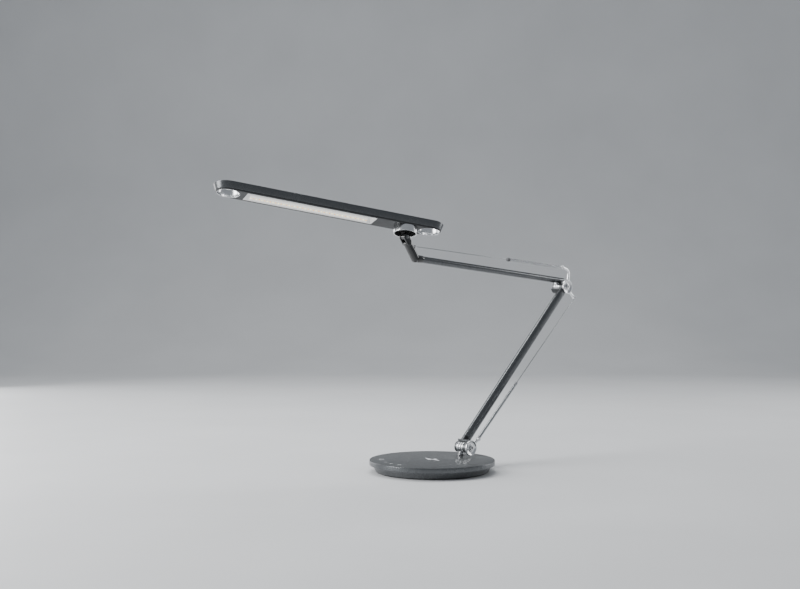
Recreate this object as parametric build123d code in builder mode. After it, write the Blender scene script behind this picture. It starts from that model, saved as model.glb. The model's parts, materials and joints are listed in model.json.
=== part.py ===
from build123d import *
from math import cos, radians, sin
import os

os.makedirs("parts", exist_ok=True)

# Swing arm desk lamp, millimetres, +Z up. The origin is the middle of the base's underside.
# The user sits on the -Y side. Both arms move in planes square to X.

# ---- base
BASE_R = 115.0
BASE_H = 22.0
PAD_R = 101.0
PAD_H = 2.0
HOUSING_FOOT_R = 104.0
HOUSING_TOP_R = 108.5
HOUSING_TOP_Z = 13.0
HOUSING_WALL = 3.0
HOUSING_FLOOR_Z = PAD_H + 3.0
PLATE_SKIN = 3.0
PLATE_UNDER_Z = BASE_H - PLATE_SKIN
WEIGHT_R = 99.0
WEIGHT_TOP_Z = 12.0
SCREW_RING_R = 80.0
SCREW_COUNT = 6
MARK_DEPTH = 0.4
BOLT_L = 46.0
MARK_TOP_Z = BASE_H + 0.06
KEY_RING_R = 92.5
POWER_KEY_ANGLE = 226.0
KEY_ANGLES = (250.5, 262.5, 275.5)
INLET_Y = 104.0
INLET_W = 9.4

# ---- post and lower hinge
POST_Y = 78.0
HINGE_Z = 38.0
STEM_R = 3.8
SPIGOT_R = 5.0
HUB_R = 10.0
AXLE_R = 4.0
RUN_GAP = 0.05
FACE_GAP = 0.3
CAP_R = 14.4

# ---- lower arm, in the plane X = 0
ARM1_L = 435.0
ARM1_ANGLE = 44.0
TUBE1_W = 18.4
TUBE1_T = 12.0
TUBE1_WALL = 1.5
SADDLE_IN_R = HUB_R + 0.5
SADDLE_OUT_R = 14.5

# ---- upper arm, in the plane X = UPPER_X
UPPER_X = -13.6
ARM2_L = 424.0
ARM2_ANGLE = 5.0
ARM2_OFFSET = 12.5
TUBE2_R = 6.3
TUBE2_WALL = 1.2
NECK_W = 15.5
NECK_T = 13.0

# ---- lever and stays
LEVER_X = 2.5
ROD_R = 2.7
EYE_R = 3.6
EYE_T = 2.4
EYE_HOLE_R = 1.5
WIRE_R = 0.8
SPRING_R = 3.1
SPRING_BORE_R = 1.3
HOOK_R = 3.4
LINK_EYE_T = 2.0

# ---- head
HEAD_UNDER_W = 42.0
HEAD_TOP_W = 53.0
HEAD_T = 14.5
HEAD_SPAN = 377.0
HEAD_BACK = 46.8
RING_R = 19.0
HEAD_WALL = 1.8
FRAME_T = 2.6
LIGHT_X0 = 61.0
LIGHT_X1 = 300.0
LIGHT_HALF_W = 17.0
DRUM_R = 21.6
DRUM_H = 12.0
HEAD_TILT = 13.7
HEAD_ROLL = 9.9
HEAD_TURN = -22.4
TILT_TO_ROLL = 8.0
ROLL_TO_HEAD = 10.0


def in_yz(x, y, z, angle):
    """A sketch plane across X: local x points along the angle above -Y or +Y, local z is +X."""
    return Plane(origin=(x, y, z), x_dir=(0, cos(radians(angle)), sin(radians(angle))), z_dir=(1, 0, 0))


def save(builder, name):
    builder.part.label = name
    export_step(builder.part, "parts/" + name + ".step")


# Frames of reference along the chain of arms.
LOWER = in_yz(0, POST_Y, HINGE_Z, ARM1_ANGLE)
ELBOW_Y = POST_Y + ARM1_L * cos(radians(ARM1_ANGLE))
ELBOW_Z = HINGE_Z + ARM1_L * sin(radians(ARM1_ANGLE))
ELBOW_END = in_yz(0, ELBOW_Y, ELBOW_Z, ARM1_ANGLE + 180)
UPPER = in_yz(0, ELBOW_Y, ELBOW_Z, 180 - ARM2_ANGLE)
HEEL = UPPER.from_local_coords(Vector(ARM2_L, -ARM2_OFFSET, 0))
PIVOT = Vector(UPPER_X, -57.7, 428.1)
NECK_RUN = PIVOT - Vector(UPPER_X, HEEL.Y, HEEL.Z)
NECK_L = NECK_RUN.length
NECK = Plane(origin=(UPPER_X, HEEL.Y, HEEL.Z), x_dir=NECK_RUN, z_dir=(1, 0, 0))

# Head frame: tilt about X, then roll about the tilted front-back line, then turn about the drum.
TILT_FRONT = Vector(0, -cos(radians(HEAD_TILT)), sin(radians(HEAD_TILT)))
TILT_UP = Vector(0, sin(radians(HEAD_TILT)), cos(radians(HEAD_TILT)))
ACROSS = Vector(1, 0, 0)
HEAD_UP = TILT_UP * cos(radians(HEAD_ROLL)) - ACROSS * sin(radians(HEAD_ROLL))
ROLL_SIDE = ACROSS * cos(radians(HEAD_ROLL)) + TILT_UP * sin(radians(HEAD_ROLL))
HEAD_ALONG = TILT_FRONT * cos(radians(HEAD_TURN)) + ROLL_SIDE * sin(radians(HEAD_TURN))
ROLL_POINT = PIVOT + TILT_UP * TILT_TO_ROLL
HEAD_POINT = ROLL_POINT + HEAD_UP * ROLL_TO_HEAD
TILT_SIDE = Plane(origin=PIVOT, x_dir=TILT_FRONT, z_dir=(1, 0, 0))
ROLL_AXIS = Plane(origin=ROLL_POINT, x_dir=HEAD_UP, z_dir=TILT_FRONT)
DRUM = Plane(origin=HEAD_POINT, x_dir=TILT_FRONT, z_dir=HEAD_UP)
HEAD = Plane(origin=HEAD_POINT, x_dir=HEAD_ALONG, z_dir=HEAD_UP)
HEAD_AXIS = Axis(HEAD_POINT, HEAD_UP)


def across(y, z, x):
    """A plane square to X, at x."""
    return Plane(origin=(x, y, z), x_dir=(0, 1, 0), z_dir=(1, 0, 0))


def at_x(plane, x):
    """The same arm plane, moved along X."""
    return plane.offset(x)


def sector(inner, outer, start, sweep_angle):
    """A piece of a flat ring."""
    with BuildSketch() as piece:
        with BuildLine():
            big = CenterArc((0, 0), outer, start, sweep_angle)
            small = CenterArc((0, 0), inner, start, sweep_angle)
            Line(big @ 0, small @ 0)
            Line(big @ 1, small @ 1)
        make_face()
    return piece.sketch


# ======================================================================= base

with BuildPart() as foot_pad:
    with BuildSketch(Plane.XY):
        Circle(PAD_R)
    extrude(amount=PAD_H)
    chamfer(foot_pad.edges().group_by(Axis.Z)[0], 0.5)
save(foot_pad, "foot_pad")

with BuildPart() as base_housing:
    with BuildSketch(Plane.XZ):
        Polygon(
            (0, PAD_H),
            (HOUSING_FOOT_R, PAD_H),
            (HOUSING_TOP_R, HOUSING_TOP_Z),
            (HOUSING_TOP_R - HOUSING_WALL, HOUSING_TOP_Z),
            (HOUSING_FOOT_R - HOUSING_WALL, HOUSING_FLOOR_Z),
            (0, HOUSING_FLOOR_Z),
            align=None,
        )
    revolve(axis=Axis.Z)
    with Locations(Plane(origin=(0, 0, PAD_H), z_dir=(0, 0, -1))):
        with PolarLocations(SCREW_RING_R, SCREW_COUNT):
            CounterBoreHole(1.6, 3.0, 1.8)
    with BuildSketch(Plane.XY.offset(HOUSING_FLOOR_Z)):
        with Locations((0, INLET_Y)):
            Rectangle(INLET_W, 14)
    extrude(amount=HOUSING_TOP_Z, mode=Mode.SUBTRACT)
    with BuildSketch(Plane.XY.offset(HOUSING_FLOOR_Z)):
        with Locations((0, -56)):
            with GridLocations(52, 32, 2, 2):
                Circle(2.5)
    extrude(amount=3)
save(base_housing, "base_housing")

with BuildPart() as base_weight:
    with BuildSketch(Plane.XY.offset(HOUSING_FLOOR_Z)):
        Circle(WEIGHT_R)
        with PolarLocations(SCREW_RING_R, SCREW_COUNT):
            Circle(4.6, mode=Mode.SUBTRACT)
        with Locations((0, POST_Y)):
            Circle(13, mode=Mode.SUBTRACT)
        with Locations((0, -56)):
            RectangleRounded(66, 46, 4, mode=Mode.SUBTRACT)
        with Locations((0, WEIGHT_R)):
            Rectangle(14, 22, mode=Mode.SUBTRACT)
    extrude(amount=WEIGHT_TOP_Z - HOUSING_FLOOR_Z)
save(base_weight, "base_weight")


def power_sign(r):
    """A ring open at the top, with a short bar: the general sign for on and off."""
    Circle(r)
    Circle(r - 1.3, mode=Mode.SUBTRACT)
    with Locations((0, r)):
        Rectangle(r, r, mode=Mode.SUBTRACT)
    with Locations((0, r * 0.7)):
        Rectangle(1.3, r * 0.9)


def bolt_sign(length):
    """A lightning bolt of six corners lying along X, for the charging place."""
    Polygon(
        (-0.50 * length, 0.10 * length),
        (0.06 * length, -0.30 * length),
        (0.06 * length, -0.04 * length),
        (0.50 * length, -0.10 * length),
        (-0.06 * length, 0.30 * length),
        (-0.06 * length, 0.04 * length),
        align=None,
    )


def key_place(angle):
    a = radians(angle)
    return (KEY_RING_R * cos(a), KEY_RING_R * sin(a))


def marks_sketch(z):
    with BuildSketch(Plane.XY.offset(z)) as sketch:
        with Locations(key_place(POWER_KEY_ANGLE)):
            power_sign(5.0)
        with Locations(key_place(KEY_ANGLES[0])):
            Rectangle(6.0, 1.5)
        with Locations(key_place(KEY_ANGLES[1])):
            Rectangle(6.0, 1.5)
            Rectangle(1.5, 6.0)
        with Locations(key_place(KEY_ANGLES[2])):
            Circle(3.5)
            Circle(2.2, mode=Mode.SUBTRACT)
    return sketch.sketch


with BuildPart() as top_plate:
    with BuildSketch(Plane.XZ):
        Polygon(
            (0, PLATE_UNDER_Z),
            (BASE_R - 9, PLATE_UNDER_Z),
            (BASE_R - 9, HOUSING_TOP_Z),
            (BASE_R - 0.8, HOUSING_TOP_Z),
            (BASE_R, HOUSING_TOP_Z + 0.8),
            (BASE_R, BASE_H - 1.0),
            (BASE_R - 1.0, BASE_H),
            (0, BASE_H),
            align=None,
        )
    revolve(axis=Axis.Z)
    with BuildSketch(Plane.XY.offset(HOUSING_FLOOR_Z)):
        with PolarLocations(SCREW_RING_R, SCREW_COUNT):
            Circle(4.0)
    extrude(amount=PLATE_UNDER_Z - HOUSING_FLOOR_Z + 0.5)
    with BuildSketch(Plane.XY.offset(HOUSING_TOP_Z - 0.4)):
        with Locations((0, POST_Y)):
            Circle(12)
    extrude(amount=PLATE_UNDER_Z - HOUSING_TOP_Z + 0.9)
    with BuildSketch(Plane.XY):
        with PolarLocations(SCREW_RING_R, SCREW_COUNT):
            Circle(1.4)
    extrude(amount=16, mode=Mode.SUBTRACT)
    with BuildSketch(Plane.XY):
        with Locations((0, POST_Y)):
            Circle(7)
    extrude(amount=BASE_H + 1, mode=Mode.SUBTRACT)
    extrude(marks_sketch(BASE_H - MARK_DEPTH), MARK_DEPTH + 1, mode=Mode.SUBTRACT)
    with BuildSketch(Plane.XY.offset(BASE_H - MARK_DEPTH)):
        bolt_sign(BOLT_L)
    extrude(amount=2, mode=Mode.SUBTRACT)
save(top_plate, "top_plate")

with BuildPart() as touch_marks:
    extrude(marks_sketch(BASE_H - MARK_DEPTH), MARK_TOP_Z - BASE_H + MARK_DEPTH)
save(touch_marks, "touch_marks")

with BuildPart() as charge_mark:
    with BuildSketch(Plane.XY.offset(BASE_H - MARK_DEPTH)):
        bolt_sign(BOLT_L)
    extrude(amount=MARK_TOP_Z - BASE_H + MARK_DEPTH)
save(charge_mark, "charge_mark")

with BuildPart() as swivel_bush:
    with BuildSketch(Plane.XY.offset(HOUSING_TOP_Z - 0.4)):
        with Locations((0, POST_Y)):
            Circle(7)
    extrude(amount=BASE_H - HOUSING_TOP_Z + 0.4)
    with BuildSketch(Plane.XY.offset(BASE_H)):
        with Locations((0, POST_Y)):
            Circle(8.5)
    extrude(amount=0.8)
    with BuildSketch(Plane.XY):
        with Locations((0, POST_Y)):
            Circle(SPIGOT_R + RUN_GAP)
    extrude(amount=BASE_H + 2, mode=Mode.SUBTRACT)
save(swivel_bush, "swivel_bush")

COIL_Z = 16.0

with BuildPart() as coil_holder:
    with BuildSketch(Plane.XY.offset(WEIGHT_TOP_Z)):
        Circle(30)
        with PolarLocations(25.5, 3):
            Circle(2, mode=Mode.SUBTRACT)
    extrude(amount=COIL_Z - WEIGHT_TOP_Z - 0.8)
save(coil_holder, "coil_holder")

with BuildPart() as charging_ferrite:
    with BuildSketch(Plane.XY.offset(COIL_Z - 0.8)):
        Circle(26)
    extrude(amount=0.8)
save(charging_ferrite, "charging_ferrite")

with BuildPart() as charging_coil:
    with BuildSketch(Plane.XY.offset(COIL_Z)):
        Circle(24)
        Circle(10.5, mode=Mode.SUBTRACT)
    extrude(amount=2.2)
save(charging_coil, "charging_coil")

with BuildPart() as control_board:
    with BuildSketch(Plane.XY.offset(HOUSING_FLOOR_Z + 3)):
        with Locations((0, -56)):
            Rectangle(60, 40)
    extrude(amount=1.6)
    with BuildSketch(Plane.XY.offset(HOUSING_FLOOR_Z + 4.6)):
        with Locations((-16, -52)):
            Rectangle(9, 9)
        with Locations((4, -62)):
            Rectangle(12, 7)
        with Locations((20, -50)):
            Circle(4)
    extrude(amount=2.4)
save(control_board, "control_board")

with BuildPart() as touch_board:
    with BuildSketch(Plane.XY.offset(PLATE_UNDER_Z - 1.4)):
        add(sector(86, 99, 218, 66))
    extrude(amount=1.4)
save(touch_board, "touch_board")

with BuildPart() as power_inlet:
    with BuildSketch(Plane.XY.offset(HOUSING_FLOOR_Z)):
        with Locations((0, 101.0)):
            Rectangle(9, 13)
    extrude(amount=7.8)
    with BuildSketch(Plane(origin=(0, 107.5, HOUSING_FLOOR_Z + 3.9), z_dir=(0, 1, 0))):
        Circle(2.8)
    extrude(amount=-9, mode=Mode.SUBTRACT)
save(power_inlet, "power_inlet")

with BuildPart() as inlet_pin:
    with BuildSketch(Plane(origin=(0, 98.5, HOUSING_FLOOR_Z + 3.9), z_dir=(0, 1, 0))):
        Circle(1.05)
    extrude(amount=8)
save(inlet_pin, "inlet_pin")

with BuildPart() as base_screws:
    with BuildSketch(Plane.XY.offset(PAD_H + 0.1)):
        with PolarLocations(SCREW_RING_R, SCREW_COUNT):
            Circle(2.8)
    extrude(amount=1.6)
    with BuildSketch(Plane.XY.offset(PAD_H + 0.1)):
        with PolarLocations(SCREW_RING_R, SCREW_COUNT):
            Circle(1.4)
    extrude(amount=12)
    with BuildSketch(Plane.XY.offset(PAD_H + 0.1)):
        with PolarLocations(SCREW_RING_R, SCREW_COUNT):
            RegularPolygon(1.3, 6)
    extrude(amount=0.9, mode=Mode.SUBTRACT)
save(base_screws, "base_screws")

# ======================================================================= post

KNUCKLE_X0 = -5.0
KNUCKLE_X1 = 12.0
COLLAR_R = 6.0
COLLAR_Z = BASE_H + 0.8 + FACE_GAP
COLLAR_TOP_Z = 27.4

with BuildPart() as swivel_post:
    with BuildSketch(Plane.XY.offset(7)):
        with Locations((0, POST_Y)):
            Circle(STEM_R)
    extrude(amount=HINGE_Z - 7)
    with BuildSketch(Plane.XY.offset(HOUSING_TOP_Z - 0.4)):
        with Locations((0, POST_Y)):
            Circle(SPIGOT_R)
    extrude(amount=COLLAR_Z - HOUSING_TOP_Z + 0.4)
    with BuildSketch(Plane.XY.offset(COLLAR_Z)):
        with Locations((0, POST_Y)):
            Circle(COLLAR_R)
    extrude(amount=COLLAR_TOP_Z - COLLAR_Z)
    with BuildSketch(Plane.XY.offset(COLLAR_Z)):
        with Locations((0, POST_Y)):
            Circle(SPIGOT_R - 0.1)
    extrude(amount=HINGE_Z - COLLAR_Z)
    with BuildSketch(across(POST_Y, HINGE_Z, KNUCKLE_X0)):
        Circle(HUB_R)
    extrude(amount=KNUCKLE_X1 - KNUCKLE_X0)
    for groove_x in (0.2, 6.0):
        with BuildSketch(across(POST_Y, HINGE_Z, groove_x)):
            Circle(HUB_R + 1)
            Circle(HUB_R - 0.7, mode=Mode.SUBTRACT)
        extrude(amount=0.9, mode=Mode.SUBTRACT)
    with BuildSketch(across(POST_Y, HINGE_Z, KNUCKLE_X0)):
        Circle(AXLE_R + RUN_GAP)
    extrude(amount=KNUCKLE_X1 - KNUCKLE_X0, mode=Mode.SUBTRACT)
save(swivel_post, "swivel_post")

with BuildPart() as post_washer:
    with BuildSketch(Plane.XY.offset(HOUSING_TOP_Z - 0.4 - FACE_GAP - 1.0)):
        with Locations((0, POST_Y)):
            Circle(8)
            Circle(STEM_R, mode=Mode.SUBTRACT)
    extrude(amount=1.0)
save(post_washer, "post_washer")

with BuildPart() as post_nut:
    with BuildSketch(Plane.XY.offset(7.2)):
        with Locations((0, POST_Y)):
            RegularPolygon(7.2, 6)
            Circle(STEM_R, mode=Mode.SUBTRACT)
    extrude(amount=HOUSING_TOP_Z - 1.4 - FACE_GAP - 7.2)
save(post_nut, "post_nut")

# ======================================================================= lower arm

LOW_REAR_X = KNUCKLE_X0 - FACE_GAP - 3.0
LOW_FRONT_X = KNUCKLE_X1 + FACE_GAP
LOW_FRONT_END_X = LOW_FRONT_X + 8.0
LOW_SADDLE_HALF = 46.0
ROOT_START = 11.5
TUBE1_INSET = 22.0
TONGUE_END = 40.0
SET_SCREWS = (27.0, 35.0)
SET_SCREW_R = 1.8
SET_SCREW_SUNK = 0.35


def screw_seat(frame, along):
    """The plane on the tube's rounded edge where a set screw goes in and presses on the tongue."""
    centre = frame.from_local_coords(Vector(along, 0, 0))
    return Plane(origin=centre, x_dir=frame.z_dir, z_dir=frame.y_dir).offset(TUBE1_W / 2)


def fork(frame, bore, rear_x, rear_t, front_x, front_t, half_angle):
    """Two ears joined by a saddle, a root of the tube's own section, and a tongue that fills the tube's end."""
    ears = ((rear_x, rear_t), (front_x, front_t))
    root = Plane(origin=frame.from_local_coords(Vector(ROOT_START, 0, 0)), x_dir=frame.y_dir, z_dir=frame.x_dir)
    with BuildPart() as body:
        with BuildSketch(root):
            SlotOverall(TUBE1_W, TUBE1_T)
        extrude(amount=TUBE1_INSET - ROOT_START)
        with BuildSketch(root):
            SlotOverall(TUBE1_W - 2 * TUBE1_WALL, TUBE1_T - 2 * TUBE1_WALL)
        extrude(amount=TONGUE_END - ROOT_START)
        with BuildSketch(at_x(frame, -TUBE1_T)):
            Circle(SADDLE_IN_R)
        extrude(amount=2 * TUBE1_T, mode=Mode.SUBTRACT)
        with BuildSketch(at_x(frame, front_x + front_t)):
            Circle(CAP_R + 0.8)
        extrude(amount=TUBE1_T, mode=Mode.SUBTRACT)
        for start, length in ears:
            with BuildSketch(at_x(frame, start)):
                Circle(HUB_R)
                add(sector(2.0, SADDLE_OUT_R, -half_angle, 2 * half_angle))
            extrude(amount=length)
        with BuildSketch(at_x(frame, rear_x)):
            add(sector(SADDLE_IN_R, SADDLE_OUT_R, -half_angle, 2 * half_angle))
        extrude(amount=front_x + front_t - rear_x)
        with BuildSketch(at_x(frame, rear_x - 1)):
            Circle(bore)
        extrude(amount=front_x + front_t - rear_x + 2, mode=Mode.SUBTRACT)
    return body


lower_fork = fork(LOWER, AXLE_R, LOW_REAR_X, 3.0, LOW_FRONT_X, 8.0, LOW_SADDLE_HALF)
save(lower_fork, "lower_fork")

EL_REAR_X = -25.0
EL_REAR_T = 4.0
EL_FRONT_X = -6.3
EL_FRONT_T = 6.8
EL_SADDLE_HALF = 26.0

elbow_fork = fork(ELBOW_END, AXLE_R + RUN_GAP, EL_REAR_X, EL_REAR_T, EL_FRONT_X, EL_FRONT_T, EL_SADDLE_HALF)
save(elbow_fork, "elbow_fork")

with BuildPart() as lower_arm_tube:
    with BuildSketch(Plane(origin=LOWER.from_local_coords(Vector(TUBE1_INSET, 0, 0)),
                           x_dir=LOWER.y_dir, z_dir=LOWER.x_dir)):
        SlotOverall(TUBE1_W, TUBE1_T)
        SlotOverall(TUBE1_W - 2 * TUBE1_WALL, TUBE1_T - 2 * TUBE1_WALL, mode=Mode.SUBTRACT)
    extrude(amount=ARM1_L - 2 * TUBE1_INSET)
    for frame in (LOWER, ELBOW_END):
        for along in SET_SCREWS:
            with BuildSketch(screw_seat(frame, along)):
                Circle(SET_SCREW_R)
            extrude(amount=-TUBE1_WALL - 0.5, mode=Mode.SUBTRACT)
save(lower_arm_tube, "lower_arm_tube")

LUG_X = LOW_FRONT_END_X
LUG_T = 2.6
CAP_T = 4.0
LOW_CAP_X = LUG_X + LUG_T
LINK_LOW = Vector(19.2, POST_Y + 26.0, HINGE_Z + 14.0)

with BuildPart() as lower_axle:
    with BuildSketch(across(POST_Y, HINGE_Z, LOW_REAR_X)):
        Circle(AXLE_R)
    extrude(amount=LOW_CAP_X + 1.2 - LOW_REAR_X)
    with BuildSketch(across(POST_Y, HINGE_Z, LOW_REAR_X - 1.6)):
        Circle(7)
    extrude(amount=1.6)
    with BuildSketch(across(POST_Y, HINGE_Z, LOW_CAP_X + 1.2)):
        Circle(1.7)
    extrude(amount=-12, mode=Mode.SUBTRACT)
save(lower_axle, "lower_axle")

with BuildPart() as spring_lug:
    with BuildSketch(across(POST_Y, HINGE_Z, LUG_X)):
        Circle(11.0)
        with Locations((26.0, 14.0)):
            Circle(3.2)
        with Locations(Location((16.0, 8.6), 28.3)):
            Rectangle(18, 3.4)
        Circle(AXLE_R, mode=Mode.SUBTRACT)
    extrude(amount=LUG_T)
    with BuildSketch(across(POST_Y + 26.0, HINGE_Z + 14.0, LUG_X)):
        Circle(1.25)
    extrude(amount=LUG_T, mode=Mode.SUBTRACT)
save(spring_lug, "spring_lug")

with BuildPart() as lug_pin:
    with BuildSketch(across(POST_Y + 26.0, HINGE_Z + 14.0, 16.6)):
        Circle(1.25)
    extrude(amount=LUG_X + LUG_T - 16.6)
    with BuildSketch(across(POST_Y + 26.0, HINGE_Z + 14.0, 16.0)):
        Circle(2.3)
    extrude(amount=0.9)
save(lug_pin, "lug_pin")


def dished_cap(y, z, x, bore):
    """A round cap with a hollow face and a flat seat in the middle for its screw."""
    with BuildPart() as body:
        with BuildSketch(Plane(origin=(x, y, z), x_dir=(0, 1, 0), z_dir=(0, 0, -1))):
            Polygon(
                (0, 0),
                (CAP_R - 0.6, 0),
                (CAP_R, 0.6),
                (CAP_R, CAP_T - 0.7),
                (CAP_R - 0.7, CAP_T),
                (CAP_R - 1.8, CAP_T),
                (CAP_R - 4.6, CAP_T - 2.2),
                (6.4, CAP_T - 2.2),
                (5.8, CAP_T - 1.2),
                (0, CAP_T - 1.2),
                align=None,
            )
        revolve(axis=Axis((x, y, z), (1, 0, 0)))
        with BuildSketch(across(y, z, x)):
            Circle(bore)
        extrude(amount=1.2, mode=Mode.SUBTRACT)
        with BuildSketch(across(y, z, x)):
            Circle(1.7)
        extrude(amount=CAP_T, mode=Mode.SUBTRACT)
    return body


def cap_screw(y, z, x):
    """A low round head with a hexagon socket, and its shank in the axle."""
    with BuildPart() as body:
        with BuildSketch(across(y, z, x + CAP_T - 1.2)):
            Circle(4.3)
        extrude(amount=2.2)
        chamfer(body.faces().sort_by(Axis.X)[-1].edges(), 0.6)
        with BuildSketch(across(y, z, x - 8)):
            Circle(1.7)
        extrude(amount=8 + CAP_T - 1.2)
        with BuildSketch(across(y, z, x + CAP_T + 1.0)):
            RegularPolygon(2.3, 6)
        extrude(amount=-1.8, mode=Mode.SUBTRACT)
    return body


lower_cap = dished_cap(POST_Y, HINGE_Z, LOW_CAP_X, AXLE_R)
save(lower_cap, "lower_cap")
lower_cap_screw = cap_screw(POST_Y, HINGE_Z, LOW_CAP_X)
save(lower_cap_screw, "lower_cap_screw")


with BuildPart() as fork_screws:
    for frame in (LOWER, ELBOW_END):
        for along in SET_SCREWS:
            with BuildSketch(screw_seat(frame, along).offset(-TUBE1_WALL)):
                Circle(SET_SCREW_R)
                RegularPolygon(0.9, 6, mode=Mode.SUBTRACT)
            extrude(amount=TUBE1_WALL - SET_SCREW_SUNK)
save(fork_screws, "fork_screws")

# ======================================================================= upper arm

BARREL_X0 = EL_REAR_X + EL_REAR_T + FACE_GAP
BARREL_X1 = EL_FRONT_X - FACE_GAP
EL_CAP_X = LEVER_X + 1.7
TUBE2_BACK = -9.0

with BuildPart() as elbow_barrel:
    with BuildSketch(at_x(UPPER, BARREL_X0)):
        Circle(HUB_R)
    extrude(amount=BARREL_X1 - BARREL_X0)
    with BuildSketch(at_x(UPPER, UPPER_X - 4.2)):
        with Locations((0, -ARM2_OFFSET / 2)):
            Rectangle(15, ARM2_OFFSET)
    extrude(amount=8.4)
    with BuildSketch(Plane(origin=UPPER.from_local_coords(Vector(-20, -ARM2_OFFSET, UPPER_X)),
                           x_dir=(1, 0, 0), z_dir=UPPER.x_dir)):
        Circle(TUBE2_R)
    extrude(amount=60, mode=Mode.SUBTRACT)
    for groove_x in (-16.6, -11.7):
        with BuildSketch(at_x(UPPER, groove_x)):
            Circle(HUB_R + 0.01)
            Circle(HUB_R - 0.7, mode=Mode.SUBTRACT)
            with Locations((0, -HUB_R)):
                Rectangle(16, 9, mode=Mode.SUBTRACT)
        extrude(amount=0.9, mode=Mode.SUBTRACT)
    with BuildSketch(at_x(UPPER, BARREL_X0)):
        Circle(AXLE_R)
    extrude(amount=BARREL_X1 - BARREL_X0, mode=Mode.SUBTRACT)
save(elbow_barrel, "elbow_barrel")

TUBE2_AXIS = Plane(origin=UPPER.from_local_coords(Vector(0, -ARM2_OFFSET, UPPER_X)),
                   x_dir=(1, 0, 0), z_dir=UPPER.x_dir)

with BuildPart() as upper_arm_tube:
    with BuildSketch(TUBE2_AXIS.offset(TUBE2_BACK)):
        Circle(TUBE2_R)
        Circle(TUBE2_R - TUBE2_WALL, mode=Mode.SUBTRACT)
    extrude(amount=ARM2_L - 8 - TUBE2_BACK)
save(upper_arm_tube, "upper_arm_tube")

with BuildPart() as tube_plug:
    with BuildSketch(TUBE2_AXIS.offset(TUBE2_BACK - 1.2)):
        Circle(TUBE2_R)
    extrude(amount=1.2)
    chamfer(tube_plug.faces().sort_by(Axis.Y)[-1].edges(), 0.7)
    with BuildSketch(TUBE2_AXIS.offset(TUBE2_BACK)):
        Circle(TUBE2_R - TUBE2_WALL)
    extrude(amount=9)
save(tube_plug, "tube_plug")

HEEL_R = NECK_W / 2
NECK_TOP = NECK_L - 7.5
FORK_IN = 4.5
FORK_OUT = 7.0

with BuildPart() as neck:
    with BuildSketch(NECK.offset(-NECK_T / 2)):
        Circle(HEEL_R)
        with Locations((NECK_TOP / 2, 0)):
            Rectangle(NECK_TOP, NECK_W)
    extrude(amount=NECK_T)
    fillet(neck.faces().filter_by(Axis.X).edges(), 4.5)
    with BuildSketch(TUBE2_AXIS.offset(ARM2_L - 17)):
        Circle(TUBE2_R + 0.9)
    extrude(amount=13)
    for start in (-FORK_OUT, FORK_IN):
        with BuildSketch(NECK.offset(start)):
            with Locations((NECK_L - 6, 0)):
                Rectangle(16, 11)
            with Locations((NECK_L, 0)):
                Circle(5.5)
        extrude(amount=FORK_OUT - FORK_IN)
    with BuildSketch(NECK.offset(-FORK_IN)):
        with Locations((NECK_L, 0)):
            Circle(7.4)
    extrude(amount=2 * FORK_IN, mode=Mode.SUBTRACT)
    with BuildSketch(NECK.offset(-FORK_OUT)):
        with Locations((NECK_L, 0)):
            Circle(2.5)
    extrude(amount=2 * FORK_OUT, mode=Mode.SUBTRACT)
    with BuildSketch(TUBE2_AXIS.offset(ARM2_L - 23)):
        Circle(TUBE2_R)
    extrude(amount=15, mode=Mode.SUBTRACT)
save(neck, "neck")

with BuildPart() as neck_pin:
    with BuildSketch(NECK.offset(-FORK_OUT)):
        with Locations((NECK_L, 0)):
            Circle(2.5)
    extrude(amount=2 * FORK_OUT)
    for start in (-FORK_OUT - 1.0, FORK_OUT):
        with BuildSketch(NECK.offset(start)):
            with Locations((NECK_L, 0)):
                Circle(3.8)
        extrude(amount=1.0)
save(neck_pin, "neck_pin")

with BuildPart() as elbow_axle:
    with BuildSketch(across(ELBOW_Y, ELBOW_Z, EL_REAR_X - FACE_GAP)):
        Circle(AXLE_R)
    extrude(amount=EL_CAP_X + 1.2 - EL_REAR_X + FACE_GAP)
    with BuildSketch(across(ELBOW_Y, ELBOW_Z, EL_REAR_X - FACE_GAP - 1.6)):
        Circle(7)
    extrude(amount=1.6)
    with BuildSketch(across(ELBOW_Y, ELBOW_Z, EL_CAP_X + 1.2)):
        Circle(1.7)
    extrude(amount=-12, mode=Mode.SUBTRACT)
save(elbow_axle, "elbow_axle")

elbow_cap = dished_cap(ELBOW_Y, ELBOW_Z, EL_CAP_X, AXLE_R)
save(elbow_cap, "elbow_cap")
elbow_cap_screw = cap_screw(ELBOW_Y, ELBOW_Z, EL_CAP_X)
save(elbow_cap_screw, "elbow_cap_screw")

# The lever: a ring on the axle, with a bent rod above it and a short one below.
LEVER = across(ELBOW_Y, ELBOW_Z, LEVER_X)
TIP = (-10.2, 39.7)
TIP_ROD_END = (-7.9, 38.4)
TAIL = (26.0, -22.0)
TAIL_ROD_END = (24.0, -20.3)

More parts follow.
